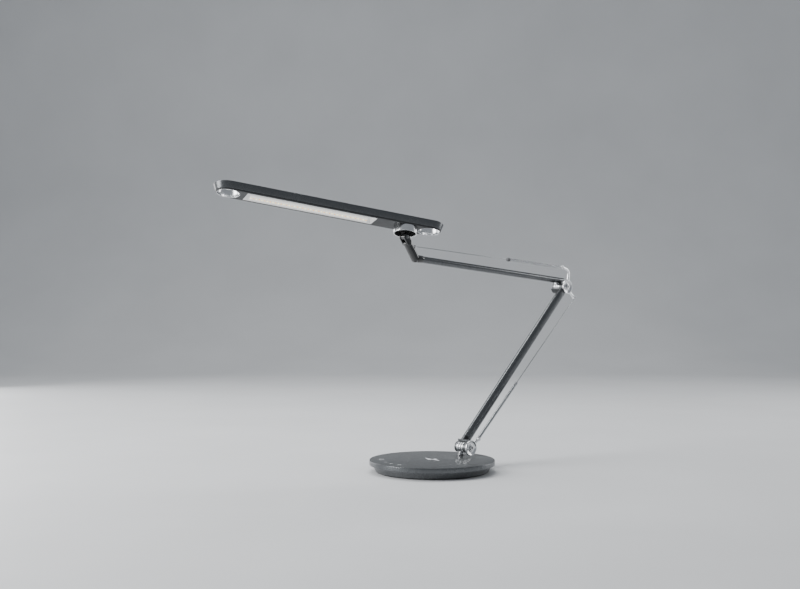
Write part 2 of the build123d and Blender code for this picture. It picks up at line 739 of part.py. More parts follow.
with BuildPart() as balance_lever:
    with BuildLine(LEVER) as tip_path:
        FilletPolyline((7.0, 5.0), (9.0, 29.0), TIP_ROD_END, radius=18)
    with BuildSketch(Plane(origin=tip_path.wire() @ 0, z_dir=tip_path.wire() % 0)):
        Circle(ROD_R)
    sweep(path=tip_path.wire())
    with BuildLine(LEVER) as tail_path:
        Line((6.0, -5.0), TAIL_ROD_END)
    with BuildSketch(Plane(origin=tail_path.wire() @ 0, z_dir=tail_path.wire() % 0)):
        Circle(ROD_R)
    sweep(path=tail_path.wire())
    with BuildSketch(LEVER.offset(-EYE_T / 2)):
        with Locations(TIP, TAIL):
            Circle(EYE_R)
    extrude(amount=EYE_T)
    with BuildSketch(LEVER.offset(-5)):
        with Locations(TIP, TAIL):
            Circle(EYE_HOLE_R)
    extrude(amount=10, mode=Mode.SUBTRACT)
    with BuildSketch(LEVER.offset(-ROD_R)):
        Circle(9.0)
    extrude(amount=2 * ROD_R)
    with BuildSketch(LEVER.offset(-ROD_R - 1)):
        Circle(30)
    extrude(amount=ROD_R + 1 - 1.7, mode=Mode.SUBTRACT)
    with BuildSketch(LEVER.offset(1.7)):
        Circle(CAP_R + 1)
    extrude(amount=2, mode=Mode.SUBTRACT)
    with BuildSketch(LEVER.offset(-5)):
        Circle(AXLE_R)
    extrude(amount=10, mode=Mode.SUBTRACT)
save(balance_lever, "balance_lever")

# ======================================================================= stays


def line_frame(start, end):
    """A plane at start whose normal runs to end."""
    return Plane(origin=start, x_dir=(end - start).cross(Vector(1, 0, 0)), z_dir=end - start)


def rod_between(frame, start, length, outer, inner=0.0):
    """A round bar, or a tube, along a line frame."""
    with BuildPart() as body:
        with BuildSketch(frame.offset(start)):
            Circle(outer)
            if inner > 0:
                Circle(inner, mode=Mode.SUBTRACT)
        extrude(amount=length)
    return body


def hook_loop(centre, plane_x, plane_z):
    """A closed loop of wire, as a torus."""
    with BuildPart() as body:
        with BuildSketch(Plane(origin=centre + plane_x * HOOK_R, x_dir=plane_x, z_dir=plane_x.cross(plane_z))):
            Circle(WIRE_R)
        revolve(axis=Axis(centre, plane_z))
    return body


STAY_TIP = Vector(LEVER_X, ELBOW_Y + TIP[0], ELBOW_Z + TIP[1])
STAY_Q = NECK.from_local_coords(Vector(19.0, -NECK_W / 2 - 3.2, 2.0))
STAY = line_frame(STAY_TIP, STAY_Q)
STAY_L = (STAY_Q - STAY_TIP).length
STAY_DIR = STAY.z_dir
STAY_SPRING_START = 14.0
STAY_SPRING_L = 148.0
STAY_BALL_R = 2.8

with BuildPart() as stay_hook:
    add(hook_loop(STAY_TIP + STAY_DIR * HOOK_R, STAY_DIR, STAY.x_dir).part)
    with BuildSketch(STAY.offset(2 * HOOK_R)):
        Circle(WIRE_R)
    extrude(amount=STAY_SPRING_START - 2 * HOOK_R)
save(stay_hook, "stay_hook")

stay_spring = rod_between(STAY, STAY_SPRING_START, STAY_SPRING_L, SPRING_R, SPRING_BORE_R)
save(stay_spring, "stay_spring")

with BuildPart() as stay_bead:
    with BuildSketch(STAY.offset(STAY_SPRING_START + STAY_SPRING_L)):
        Circle(3.7)
        Circle(WIRE_R, mode=Mode.SUBTRACT)
    extrude(amount=6)
    chamfer(stay_bead.edges().filter_by(GeomType.CIRCLE).group_by(SortBy.RADIUS)[-1], 0.8)
save(stay_bead, "stay_bead")

STAY_WIRE_START = STAY_SPRING_START + STAY_SPRING_L
stay_wire = rod_between(STAY, STAY_WIRE_START, STAY_L - STAY_WIRE_START - STAY_BALL_R + 0.1, WIRE_R)
save(stay_wire, "stay_wire")

with BuildPart() as stay_anchor:
    with BuildSketch(Plane(origin=STAY_Q, x_dir=NECK.x_dir, z_dir=NECK.y_dir)):
        Circle(1.8)
    extrude(amount=3.2)
    with Locations(STAY_Q):
        Sphere(STAY_BALL_R)
save(stay_anchor, "stay_anchor")

# The lower stay: a spring held by the lug, and a wire that draws out of it to the lever's tail.
LINK_TOP = Vector(LEVER_X + ROD_R + 0.4 + LINK_EYE_T / 2, ELBOW_Y + TAIL[0], ELBOW_Z + TAIL[1])
LINK = line_frame(LINK_LOW, LINK_TOP)
LINK_L = (LINK_TOP - LINK_LOW).length
LINK_SPRING_START = 4.5
LINK_SPRING_L = 150.0
LINK_WIRE_START = 100.0

with BuildPart() as link_spring:
    with BuildSketch(LINK.offset(LINK_SPRING_START)):
        Circle(SPRING_R)
        Circle(SPRING_BORE_R, mode=Mode.SUBTRACT)
    extrude(amount=LINK_SPRING_L)
    with BuildSketch(LINK.offset(LINK_SPRING_START - 2.0)):
        Circle(1.0)
    extrude(amount=2.0)
    with BuildSketch(LINK.offset(LINK_SPRING_START)):
        Circle(2.0)
    extrude(amount=3)
    with BuildSketch(across(LINK_LOW.Y, LINK_LOW.Z, LINK_LOW.X - 1.1)):
        Circle(3.4)
    extrude(amount=2.0)
    with BuildSketch(across(LINK_LOW.Y, LINK_LOW.Z, LINK_LOW.X - 2)):
        Circle(1.25 + RUN_GAP)
    extrude(amount=4, mode=Mode.SUBTRACT)
save(link_spring, "link_spring")

with BuildPart() as link_wire:
    with BuildSketch(LINK.offset(LINK_WIRE_START)):
        Circle(WIRE_R)
    extrude(amount=LINK_L - LINK_WIRE_START - 2)
    with BuildSketch(across(LINK_TOP.Y, LINK_TOP.Z, LINK_TOP.X - LINK_EYE_T / 2)):
        Circle(3.2)
        Circle(1.3, mode=Mode.SUBTRACT)
    extrude(amount=LINK_EYE_T)
save(link_wire, "link_wire")

# ======================================================================= head joint

with BuildPart() as tilt_knuckle:
    with BuildSketch(TILT_SIDE.offset(-FORK_IN + FACE_GAP)):
        Circle(5.2)
        with Locations((0, -TILT_TO_ROLL / 2)):
            Rectangle(7.5, TILT_TO_ROLL)
    extrude(amount=2 * (FORK_IN - FACE_GAP))
    with BuildSketch(ROLL_AXIS.offset(-3.75)):
        Circle(4.2)
    extrude(amount=7.5)
    with BuildSketch(TILT_SIDE.offset(-10)):
        Circle(2.5 + RUN_GAP)
    extrude(amount=20, mode=Mode.SUBTRACT)
    with BuildSketch(ROLL_AXIS.offset(-10)):
        Circle(1.5 + RUN_GAP)
    extrude(amount=20, mode=Mode.SUBTRACT)
save(tilt_knuckle, "tilt_knuckle")

LUG_IN = 3.75 + FACE_GAP
LUG_OUT = LUG_IN + 3.0

with BuildPart() as swivel_drum:
    with BuildSketch(DRUM.offset(-FACE_GAP - DRUM_H)):
        Circle(DRUM_R)
    extrude(amount=DRUM_H)
    chamfer(swivel_drum.edges(), 0.8)
    with BuildSketch(DRUM.offset(-FACE_GAP - DRUM_H)):
        Circle(DRUM_R - 3.0)
    extrude(amount=DRUM_H - 4.0, mode=Mode.SUBTRACT)
    for side in (1, -1):
        with BuildSketch(Plane(origin=ROLL_POINT, x_dir=HEAD_UP, z_dir=TILT_FRONT * side).offset(LUG_IN)):
            Circle(3.6)
            with Locations((3, 0)):
                Rectangle(6, 7.2)
        extrude(amount=LUG_OUT - LUG_IN)
    with BuildSketch(ROLL_AXIS.offset(-LUG_OUT)):
        Circle(1.5)
    extrude(amount=2 * LUG_OUT, mode=Mode.SUBTRACT)
    with BuildSketch(DRUM.offset(-8)):
        Circle(5)
    extrude(amount=9, mode=Mode.SUBTRACT)
save(swivel_drum, "swivel_drum")

with BuildPart() as roll_pin:
    with BuildSketch(ROLL_AXIS.offset(-LUG_OUT)):
        Circle(1.5)
    extrude(amount=2 * LUG_OUT)
save(roll_pin, "roll_pin")

SPINDLE_TOP = FRAME_T + 3.6

with BuildPart() as swivel_spindle:
    with BuildSketch(DRUM.offset(-4.3)):
        Circle(5.0)
        Circle(2.6, mode=Mode.SUBTRACT)
    extrude(amount=4.3 + SPINDLE_TOP)
save(swivel_spindle, "swivel_spindle")

with BuildPart() as spindle_washer:
    with BuildSketch(DRUM.offset(FRAME_T + FACE_GAP)):
        Circle(9.0)
        Circle(5.0, mode=Mode.SUBTRACT)
    extrude(amount=0.8)
save(spindle_washer, "spindle_washer")

with BuildPart() as spindle_nut:
    with BuildSketch(DRUM.offset(FRAME_T + FACE_GAP + 0.8)):
        RegularPolygon(8.0, 6)
        Circle(5.0, mode=Mode.SUBTRACT)
    extrude(amount=2.4)
save(spindle_nut, "spindle_nut")

# ======================================================================= head

MID_X = HEAD_SPAN / 2 - HEAD_BACK
FAR_X = HEAD_SPAN - HEAD_BACK
RINGS = ((-HEAD_BACK, 0), (FAR_X, 0))
SENSOR = (304.6, 12.0)
TRIM_R = RING_R + 1.2
RING_WALL = 0.8
TRAY_TOP = 9.0
TRAY_W = 18.0
TRAY_SHIFT = 5.0
TRAY_RUN = 6.0


def head_outline(height, inset):
    """The bar's outline at a height: its walls lean out towards the top by the same amount all round."""
    width = HEAD_UNDER_W + (HEAD_TOP_W - HEAD_UNDER_W) * height / HEAD_T
    with Locations((MID_X, 0)):
        SlotCenterToCenter(HEAD_SPAN, width - 2 * inset)


def leaning_bar(low, high, inset):
    with BuildPart() as body:
        with BuildSketch(HEAD.offset(low)):
            head_outline(low, inset)
        with BuildSketch(HEAD.offset(high)):
            head_outline(high, inset)
        loft(ruled=True)
    return body.part


with BuildPart() as head_cover:
    add(leaning_bar(FRAME_T, HEAD_T, 0))
    chamfer(head_cover.faces().sort_by(HEAD_AXIS)[-1].edges(), 0.8)
    add(leaning_bar(FRAME_T, HEAD_T - HEAD_WALL, HEAD_WALL), mode=Mode.SUBTRACT)
    with BuildSketch(HEAD.offset(FRAME_T)):
        with Locations(*RINGS):
            Circle(TRIM_R + RING_WALL)
    extrude(amount=HEAD_T - FRAME_T - 1.0)
    with BuildSketch(HEAD):
        with Locations(*RINGS):
            Circle(TRIM_R)
    extrude(amount=HEAD_T + 1, mode=Mode.SUBTRACT)
save(head_cover, "head_cover")

HEAD_SCREWS = ((-16.0, 12.5), (16.0, 12.5), (-16.0, -12.5), (16.0, -12.5))

with BuildPart() as head_frame:
    add(leaning_bar(0, FRAME_T, 0))
    chamfer(head_frame.faces().sort_by(HEAD_AXIS)[0].edges(), 0.3)
    with BuildSketch(HEAD):
        with Locations(*RINGS):
            Circle(TRIM_R)
        with Locations(((LIGHT_X0 + LIGHT_X1) / 2, 0)):
            Rectangle(LIGHT_X1 - LIGHT_X0, 2 * LIGHT_HALF_W)
        Circle(SPIGOT_R + RUN_GAP)
        with Locations(*HEAD_SCREWS):
            Circle(1.3)
        with Locations(SENSOR):
            Circle(1.6)
    extrude(amount=FRAME_T, mode=Mode.SUBTRACT)
save(head_frame, "head_frame")

with BuildPart() as head_screws:
    with BuildSketch(HEAD.offset(0.05)):
        with Locations(*HEAD_SCREWS):
            Circle(1.3)
    extrude(amount=6)
save(head_screws, "head_screws")

for name, place in (("rear_ring_trim", RINGS[0]), ("front_ring_trim", RINGS[1])):
    with BuildPart() as ring_trim:
        with BuildSketch(HEAD.offset(-0.25)):
            with Locations(place):
                Circle(TRIM_R)
                Circle(RING_R, mode=Mode.SUBTRACT)
        extrude(amount=HEAD_T + 0.5)
        chamfer(ring_trim.edges().filter_by(GeomType.CIRCLE).group_by(SortBy.RADIUS)[0], 0.8)
    save(ring_trim, name)

# The light well: its far wall leans, and the strip lies on that slope to throw light forward.
LIGHT_MID = (LIGHT_X0 + LIGHT_X1) / 2
LIGHT_L = LIGHT_X1 - LIGHT_X0
WELL_T = 1.2
WELL_FOOT = 0.2
WELL_CEILING = TRAY_TOP - WELL_T

with BuildPart() as light_well:
    with BuildSketch(HEAD.offset(WELL_FOOT)):
        with Locations((LIGHT_MID, 0)):
            Rectangle(LIGHT_L - 0.2, 2 * LIGHT_HALF_W - 0.2)
    with BuildSketch(HEAD.offset(TRAY_TOP)):
        with Locations((LIGHT_MID, TRAY_SHIFT)):
            Rectangle(LIGHT_L - 2 * TRAY_RUN + 4, TRAY_W + 4)
    loft()
    with BuildSketch(HEAD.offset(WELL_FOOT)):
        with Locations((LIGHT_MID, 0)):
            Rectangle(LIGHT_L - 2.6, 2 * LIGHT_HALF_W - 2.6)
    with BuildSketch(HEAD.offset(WELL_CEILING)):
        with Locations((LIGHT_MID, TRAY_SHIFT)):
            Rectangle(LIGHT_L - 2 * TRAY_RUN, TRAY_W)
    loft(mode=Mode.SUBTRACT)
save(light_well, "light_well")

SLOPE_FOOT_Y = 1.3 - LIGHT_HALF_W
SLOPE_HEAD_Y = TRAY_SHIFT - TRAY_W / 2
SLOPE_DIR = (HEAD.y_dir * (SLOPE_HEAD_Y - SLOPE_FOOT_Y) + HEAD.z_dir * (WELL_CEILING - WELL_FOOT)).normalized()
SLOPE_MID = Vector(LIGHT_MID, (SLOPE_FOOT_Y + SLOPE_HEAD_Y) / 2, (WELL_FOOT + WELL_CEILING) / 2)
SLOPE = Plane(origin=HEAD.from_local_coords(SLOPE_MID), x_dir=HEAD.x_dir, z_dir=SLOPE_DIR.cross(HEAD.x_dir))
STRIP_L = LIGHT_L - 20.0
STRIP_T = 1.0
LED_COUNT = 44

with BuildPart() as led_strip:
    with BuildSketch(SLOPE):
        Rectangle(STRIP_L, 9)
    extrude(amount=STRIP_T)
save(led_strip, "led_strip")

with BuildPart() as leds:
    with BuildSketch(SLOPE.offset(STRIP_T)):
        with GridLocations(STRIP_L / LED_COUNT, 1, LED_COUNT, 1):
            Rectangle(2.8, 2.8)
    extrude(amount=0.8)
save(leds, "leds")

with BuildPart() as light_sensor:
    with BuildSketch(HEAD.offset(-0.1)):
        with Locations(SENSOR):
            Circle(1.6)
    extrude(amount=4)
save(light_sensor, "light_sensor")

with BuildPart() as driver_board:
    with BuildSketch(HEAD.offset(FRAME_T + 6.6)):
        with Locations((30, 0)):
            Rectangle(50, 26)
    extrude(amount=1.4)
    with BuildSketch(HEAD.offset(FRAME_T + 8.0)):
        with Locations((22, 4)):
            Rectangle(8, 8)
        with Locations((38, -5)):
            Rectangle(6, 10)
    extrude(amount=1.6)
save(driver_board, "driver_board")
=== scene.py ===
import json
from math import cos, pi, radians, sin, sqrt

import bmesh
import bpy
from mathutils import Matrix, Vector


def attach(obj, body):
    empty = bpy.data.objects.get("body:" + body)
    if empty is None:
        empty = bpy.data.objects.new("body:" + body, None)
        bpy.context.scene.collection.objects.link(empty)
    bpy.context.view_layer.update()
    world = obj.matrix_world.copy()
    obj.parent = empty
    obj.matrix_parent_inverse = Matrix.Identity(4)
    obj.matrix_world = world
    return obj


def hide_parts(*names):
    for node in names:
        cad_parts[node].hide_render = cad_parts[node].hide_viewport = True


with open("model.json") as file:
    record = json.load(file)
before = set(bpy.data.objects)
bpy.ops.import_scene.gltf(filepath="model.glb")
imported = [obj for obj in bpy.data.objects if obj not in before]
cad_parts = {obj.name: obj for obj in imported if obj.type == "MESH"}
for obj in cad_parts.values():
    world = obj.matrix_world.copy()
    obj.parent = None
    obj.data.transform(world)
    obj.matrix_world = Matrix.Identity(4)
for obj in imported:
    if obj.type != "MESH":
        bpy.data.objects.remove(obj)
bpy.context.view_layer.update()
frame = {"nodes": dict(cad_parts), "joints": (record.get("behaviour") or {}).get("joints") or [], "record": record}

# Shapes below are in millimetres in a bench frame of their own, and settle() puts them in the lamp's frame.
MM = 0.001
X_WAY = Vector((1, 0, 0))
joints = {joint["name"]: joint for joint in frame["joints"]}


def pivot(name):
    return Vector(joints[name]["pos_m"]) / MM


def bench(origin, along, up):
    """A frame with its own x running along and its own z running up."""
    z = Vector(up).normalized()
    x = Vector(along) - z * z.dot(Vector(along))
    x.normalize()
    turn = Matrix((x, z.cross(x), z)).transposed().to_4x4()
    return Matrix.Translation(Vector(origin)) @ turn


def slope(degrees):
    """A direction in the arms' upright plane, from the back (+Y) upwards."""
    return Vector((0, cos(radians(degrees)), sin(radians(degrees))))


# ---- where the parts stand
LOW_HINGE = pivot("lower_arm_tilt")
ELBOW_HINGE = pivot("elbow_tilt")
NECK_TOP = pivot("head_tilt")
ROLL_PIN = pivot("head_roll")
SWIVEL = pivot("head_swivel")
HEAD_UP = Vector(joints["head_swivel"]["axis"])
DRUM_FRONT = Vector(joints["head_roll"]["axis"])
LOW_SLOPE = 44.0
HIGH_SLOPE = 175.0
HEAD_TURN = -22.4
UPPER_X = -13.6
UPPER_L = 424.0
TUBE_RISE = -12.5

TABLE = bench((0, 0, 0), (1, 0, 0), (0, 0, 1))
POST = bench((0, LOW_HINGE.y, 0), (1, 0, 0), (0, 0, 1))
LOW_ARM = bench(LOW_HINGE, slope(LOW_SLOPE), X_WAY)
ARM_TOP = bench(ELBOW_HINGE, slope(LOW_SLOPE + 180), X_WAY)
HIGH_ARM = bench(ELBOW_HINGE, slope(HIGH_SLOPE), X_WAY)
HIGH_TUBE = HIGH_ARM @ Matrix.Translation((0, TUBE_RISE, UPPER_X)) @ Matrix.Rotation(pi / 2, 4, "Y")
HEEL = HIGH_ARM @ Vector((UPPER_L, TUBE_RISE, UPPER_X))
NECK = bench(HEEL, NECK_TOP - HEEL, X_WAY)
NECK_L = (NECK_TOP - HEEL).length
LEVER = bench(ELBOW_HINGE + Vector((2.5, 0, 0)), (0, 1, 0), X_WAY)
DRUM = bench(SWIVEL, DRUM_FRONT, HEAD_UP)
HEAD = bench(SWIVEL, Matrix.Rotation(radians(HEAD_TURN), 3, HEAD_UP) @ DRUM_FRONT, HEAD_UP)
ROLL = bench(ROLL_PIN, HEAD_UP, DRUM_FRONT)

LEVER_TIP = (-10.2, 39.7)
LEVER_TAIL = (26.0, -22.0)
STAY_LOW = Vector((19.2, LOW_HINGE.y + 26.0, LOW_HINGE.z + 14.0))
STAY_EYE_X = 6.6
STAY_HIGH = ELBOW_HINGE + Vector((STAY_EYE_X, LEVER_TAIL[0], LEVER_TAIL[1]))
LINK = bench(STAY_LOW, X_WAY, STAY_HIGH - STAY_LOW)
LINK_L = (STAY_HIGH - STAY_LOW).length
TIP = LEVER @ Vector((LEVER_TIP[0], LEVER_TIP[1], 0))
ANCHOR = NECK @ Vector((19.0, -10.95, 2.0))
STAY = bench(TIP, X_WAY, ANCHOR - TIP)
STAY_L = (ANCHOR - TIP).length

# ======================================================================= finishes


def new_group(name, inputs, outputs):
    """A shader group with float inputs, as (name, value), and outputs, as (name, kind)."""
    tree = bpy.data.node_groups.new(name, "ShaderNodeTree")
    for label, value in inputs:
        socket = tree.interface.new_socket(label, in_out="INPUT", socket_type="NodeSocketFloat")
        socket.default_value = value
    for label, kind in outputs:
        tree.interface.new_socket(label, in_out="OUTPUT", socket_type="NodeSocket" + kind)
    return tree, tree.nodes.new("NodeGroupInput"), tree.nodes.new("NodeGroupOutput")


def math_node(tree, kind, first, second=0.5):
    node = tree.nodes.new("ShaderNodeMath")
    node.operation = kind
    for socket, value in zip(node.inputs, (first, second)):
        if isinstance(value, (int, float)):
            socket.default_value = value
        else:
            tree.links.new(value, socket)
    return node.outputs[0]


def noise(tree, vector, scale, detail=3.0, rough=0.55):
    node = tree.nodes.new("ShaderNodeTexNoise")
    node.inputs["Detail"].default_value = detail
    node.inputs["Roughness"].default_value = rough
    tree.links.new(vector, node.inputs["Vector"])
    if isinstance(scale, (int, float)):
        node.inputs["Scale"].default_value = scale
    else:
        tree.links.new(scale, node.inputs["Scale"])
    return node.outputs["Fac"]


def spread(tree, value, low, high, to_low=0.0, to_high=1.0):
    node = tree.nodes.new("ShaderNodeMapRange")
    for label, number in (("From Min", low), ("From Max", high), ("To Min", to_low), ("To Max", to_high)):
        node.inputs[label].default_value = number
    tree.links.new(value, node.inputs["Value"])
    return node.outputs["Result"]


def object_place(tree):
    return tree.nodes.new("ShaderNodeTexCoord").outputs["Object"]


def own_place(tree):
    """The piece's own bench frame, kept on its vertices, for marks left by a lathe or a die."""
    node = tree.nodes.new("ShaderNodeAttribute")
    node.attribute_name = "own"
    return node.outputs["Vector"]


MARK_OUTPUTS = [("Tone", "Float"), ("Height", "Float")]


def blend(tree, first, share, second):
    """The first value at its share, and the second for the rest."""
    return math_node(tree, "ADD", math_node(tree, "MULTIPLY", first, share),
                     math_node(tree, "MULTIPLY", second, 1.0 - share))


def blasted_group():
    """Fine even grain of a blasted and anodised surface, with faint broad clouds."""
    tree, given, out = new_group("blasted_grain", [("Grain", 2600.0)], MARK_OUTPUTS)
    place = object_place(tree)
    grain = noise(tree, place, given.outputs["Grain"], 2.0, 0.6)
    cloud = noise(tree, place, 22.0, 4.0, 0.5)
    smudge = noise(tree, place, 90.0, 3.0, 0.6)
    broad = math_node(tree, "MULTIPLY", math_node(tree, "ADD", cloud, smudge), 0.5)
    tone = blend(tree, broad, 0.65, grain)
    tree.links.new(spread(tree, tone, 0.3, 0.7), out.inputs["Tone"])
    tree.links.new(grain, out.inputs["Height"])
    return tree


def lathe_group():
    """Rings left by turning about the piece's own axis."""
    tree, given, out = new_group("lathe_rings", [("Pitch", 5200.0)], MARK_OUTPUTS)
    split = tree.nodes.new("ShaderNodeSeparateXYZ")
    tree.links.new(own_place(tree), split.inputs[0])
    squares = [math_node(tree, "POWER", split.outputs[way], 2.0) for way in (0, 1)]
    reach = math_node(tree, "SQRT", math_node(tree, "ADD", *squares))
    join = tree.nodes.new("ShaderNodeCombineXYZ")
    tree.links.new(reach, join.inputs[0])
    tree.links.new(split.outputs[2], join.inputs[1])
    rings = noise(tree, join.outputs[0], given.outputs["Pitch"], 3.0, 0.65)
    cloud = noise(tree, object_place(tree), 60.0, 3.0, 0.5)
    tone = blend(tree, rings, 0.7, cloud)
    tree.links.new(spread(tree, tone, 0.32, 0.68), out.inputs["Tone"])
    tree.links.new(rings, out.inputs["Height"])
    return tree


def drawn_group():
    """Long fine lines left by drawing or extruding along the piece's own length (z)."""
    tree, given, out = new_group("drawn_lines", [("Fineness", 1800.0)], MARK_OUTPUTS)
    stretch = tree.nodes.new("ShaderNodeMapping")
    stretch.inputs["Scale"].default_value = (1.0, 1.0, 0.012)
    tree.links.new(own_place(tree), stretch.inputs["Vector"])
    lines = noise(tree, stretch.outputs[0], given.outputs["Fineness"], 3.0, 0.6)
    cloud = noise(tree, object_place(tree), 35.0, 3.0, 0.5)
    tone = blend(tree, lines, 0.6, cloud)
    tree.links.new(spread(tree, tone, 0.32, 0.68), out.inputs["Tone"])
    tree.links.new(lines, out.inputs["Height"])
    return tree


def wear_group():
    """A mask for rubbed corners: convex edges, broken up."""
    tree, given, out = new_group("edge_wear", [("Reach", 0.52)], [("Mask", "Float")])
    point = tree.nodes.new("ShaderNodeNewGeometry").outputs["Pointiness"]
    lift = math_node(tree, "SUBTRACT", point, given.outputs["Reach"])
    corner = spread(tree, lift, 0.0, 0.08)
    broken = spread(tree, noise(tree, object_place(tree), 420.0, 4.0, 0.7), 0.35, 0.62)
    tree.links.new(math_node(tree, "MULTIPLY", corner, broken), out.inputs["Mask"])
    return tree


def dust_group():
    """A thin settled film on faces that look up, in sparse flecks."""
    tree, given, out = new_group("settled_dust", [("Amount", 0.3)], [("Mask", "Float")])
    split = tree.nodes.new("ShaderNodeSeparateXYZ")
    tree.links.new(tree.nodes.new("ShaderNodeNewGeometry").outputs["Normal"], split.inputs[0])
    up = spread(tree, split.outputs[2], 0.35, 1.0)
    place = object_place(tree)
    flecks = spread(tree, noise(tree, place, 1500.0, 2.0, 0.5), 0.66, 0.76)
    film = spread(tree, noise(tree, place, 30.0, 4.0, 0.6), 0.35, 0.75, 0.0, 0.35)
    layer = math_node(tree, "MULTIPLY", up, math_node(tree, "MAXIMUM", flecks, film))
    tree.links.new(math_node(tree, "MULTIPLY", layer, given.outputs["Amount"]), out.inputs["Mask"])
    return tree


SURFACES = {"blasted": blasted_group(), "lathe": lathe_group(), "drawn": drawn_group()}
WEAR = wear_group()
DUST = dust_group()
finishes = {}


def mix_colour(tree, mask, under, over):
    node = tree.nodes.new("ShaderNodeMix")
    node.data_type = "RGBA"
    tree.links.new(mask, node.inputs[0])
    for socket, value in ((node.inputs[6], under), (node.inputs[7], over)):
        if isinstance(value, tuple):
            socket.default_value = (*value, 1.0)
        else:
            tree.links.new(value, socket)
    return node.outputs[2]


def mix_value(tree, mask, under, over):
    node = tree.nodes.new("ShaderNodeMix")
    tree.links.new(mask, node.inputs[0])
    tree.links.new(under, node.inputs[2])
    node.inputs[3].default_value = over
    return node.outputs[0]


def finish(name, dark, light, metallic, smooth, coarse, surface="blasted", mark=2600.0, depth=0.02,
           wear=0.0, worn=(0.5, 0.5, 0.5), dust=0.0, coat=0.0, aniso=0.0, glow=None, shine=0.5):
    """One material: a colour and a roughness that follow the surface marks, rubbed corners and a film of dust."""
    material = bpy.data.materials.new(name)
    material.use_nodes = True
    tree = material.node_tree
    skin = tree.nodes["Principled BSDF"]
    marks = tree.nodes.new("ShaderNodeGroup")
    marks.node_tree = SURFACES[surface]
    marks.inputs[0].default_value = mark
    tone = marks.outputs["Tone"]
    colour = mix_colour(tree, tone, dark, light)
    rough = spread(tree, tone, 0.0, 1.0, coarse, smooth)
    if wear:
        rub = tree.nodes.new("ShaderNodeGroup")
        rub.node_tree = WEAR
        mask = math_node(tree, "MULTIPLY", rub.outputs[0], wear)
        colour = mix_colour(tree, mask, colour, worn)
        rough = mix_value(tree, mask, rough, max(smooth - 0.08, 0.05))
    if dust:
        film = tree.nodes.new("ShaderNodeGroup")
        film.node_tree = DUST
        film.inputs[0].default_value = dust
        colour = mix_colour(tree, film.outputs[0], colour, (0.42, 0.41, 0.39))
        rough = mix_value(tree, film.outputs[0], rough, 0.8)
    tree.links.new(colour, skin.inputs["Base Color"])
    tree.links.new(rough, skin.inputs["Roughness"])
    bump = tree.nodes.new("ShaderNodeBump")
    bump.inputs["Strength"].default_value = 0.6
    bump.inputs["Distance"].default_value = depth * MM
    tree.links.new(marks.outputs["Height"], bump.inputs["Height"])
    tree.links.new(bump.outputs["Normal"], skin.inputs["Normal"])
    skin.inputs["Metallic"].default_value = metallic
    skin.inputs["Specular IOR Level"].default_value = shine
    skin.inputs["Coat Weight"].default_value = coat
    skin.inputs["Coat Roughness"].default_value = 0.06
    skin.inputs["Anisotropic"].default_value = aniso
    # Emission: the light points' own light, and painted glow on the well and the strip.
    if glow:
        skin.inputs["Emission Color"].default_value = (*glow[0], 1.0)
        skin.inputs["Emission Strength"].default_value = glow[1]
    finishes[name] = material


finish("graphite_satin", (0.085, 0.090, 0.095), (0.125, 0.131, 0.137), 0.80, 0.24, 0.34, mark=2400, depth=0.012,
       wear=0.55, worn=(0.34, 0.35, 0.36), dust=0.10)
# A darker, less metallic copy of graphite_satin for the bar's underside: painted shade.
finish("graphite_painted_shade", (0.030, 0.031, 0.033), (0.048, 0.050, 0.052), 0.25, 0.40, 0.52, mark=2400, depth=0.012,
       shine=0.25)
finish("housing_grey", (0.085, 0.089, 0.093), (0.12, 0.125, 0.13), 0.75, 0.34, 0.46, mark=2100, depth=0.014,
       wear=0.45, worn=(0.30, 0.31, 0.32))
finish("arm_graphite", (0.045, 0.048, 0.051), (0.080, 0.084, 0.088), 0.85, 0.20, 0.30, "drawn", 1700, 0.006,
       wear=0.4, worn=(0.30, 0.31, 0.32), dust=0.06)
finish("fork_black", (0.030, 0.032, 0.034), (0.055, 0.058, 0.061), 0.85, 0.28, 0.42, mark=2600, depth=0.012,
       wear=0.6, worn=(0.28, 0.29, 0.30))
finish("neck_black", (0.006, 0.006, 0.007), (0.012, 0.012, 0.013), 0.0, 0.08, 0.17, mark=1500, depth=0.003,
       wear=0.15, worn=(0.05, 0.05, 0.05), coat=0.7)
finish("satin_metal", (0.58, 0.59, 0.60), (0.78, 0.79, 0.80), 1.0, 0.16, 0.27, "lathe", 4200, 0.006,
       wear=0.5, worn=(0.80, 0.80, 0.81), aniso=0.4)
finish("barrel_grey", (0.36, 0.37, 0.38), (0.54, 0.55, 0.56), 1.0, 0.17, 0.28, "lathe", 3600, 0.008,
       wear=0.5, worn=(0.62, 0.63, 0.64), aniso=0.4)
finish("bright_rod", (0.80, 0.81, 0.82), (0.92, 0.93, 0.94), 1.0, 0.22, 0.32, "drawn", 2600, 0.003)
finish("spring_steel", (0.44, 0.45, 0.46), (0.62, 0.63, 0.64), 1.0, 0.18, 0.30, mark=1500, depth=0.004)
finish("wire_steel", (0.28, 0.29, 0.30), (0.40, 0.41, 0.42), 1.0, 0.24, 0.38, "drawn", 4000, 0.002)
finish("dark_steel", (0.09, 0.092, 0.095), (0.15, 0.153, 0.157), 0.95, 0.30, 0.46, mark=2600, depth=0.01,
       wear=0.6, worn=(0.30, 0.30, 0.31))
finish("bright_screw", (0.38, 0.38, 0.39), (0.56, 0.56, 0.57), 1.0, 0.22, 0.36, "lathe", 4600, 0.006,
       wear=0.5, worn=(0.55, 0.56, 0.57), aniso=0.3)
finish("ballast", (0.045, 0.043, 0.042), (0.12, 0.115, 0.11), 0.6, 0.55, 0.80, mark=700, depth=0.15)
finish("foot_rubber", (0.010, 0.010, 0.010), (0.022, 0.022, 0.022), 0.0, 0.62, 0.82, mark=1100, depth=0.05, dust=0.2)
finish("mark_white", (0.55, 0.57, 0.59), (0.68, 0.70, 0.72), 0.0, 0.30, 0.45, mark=2600, depth=0.004)
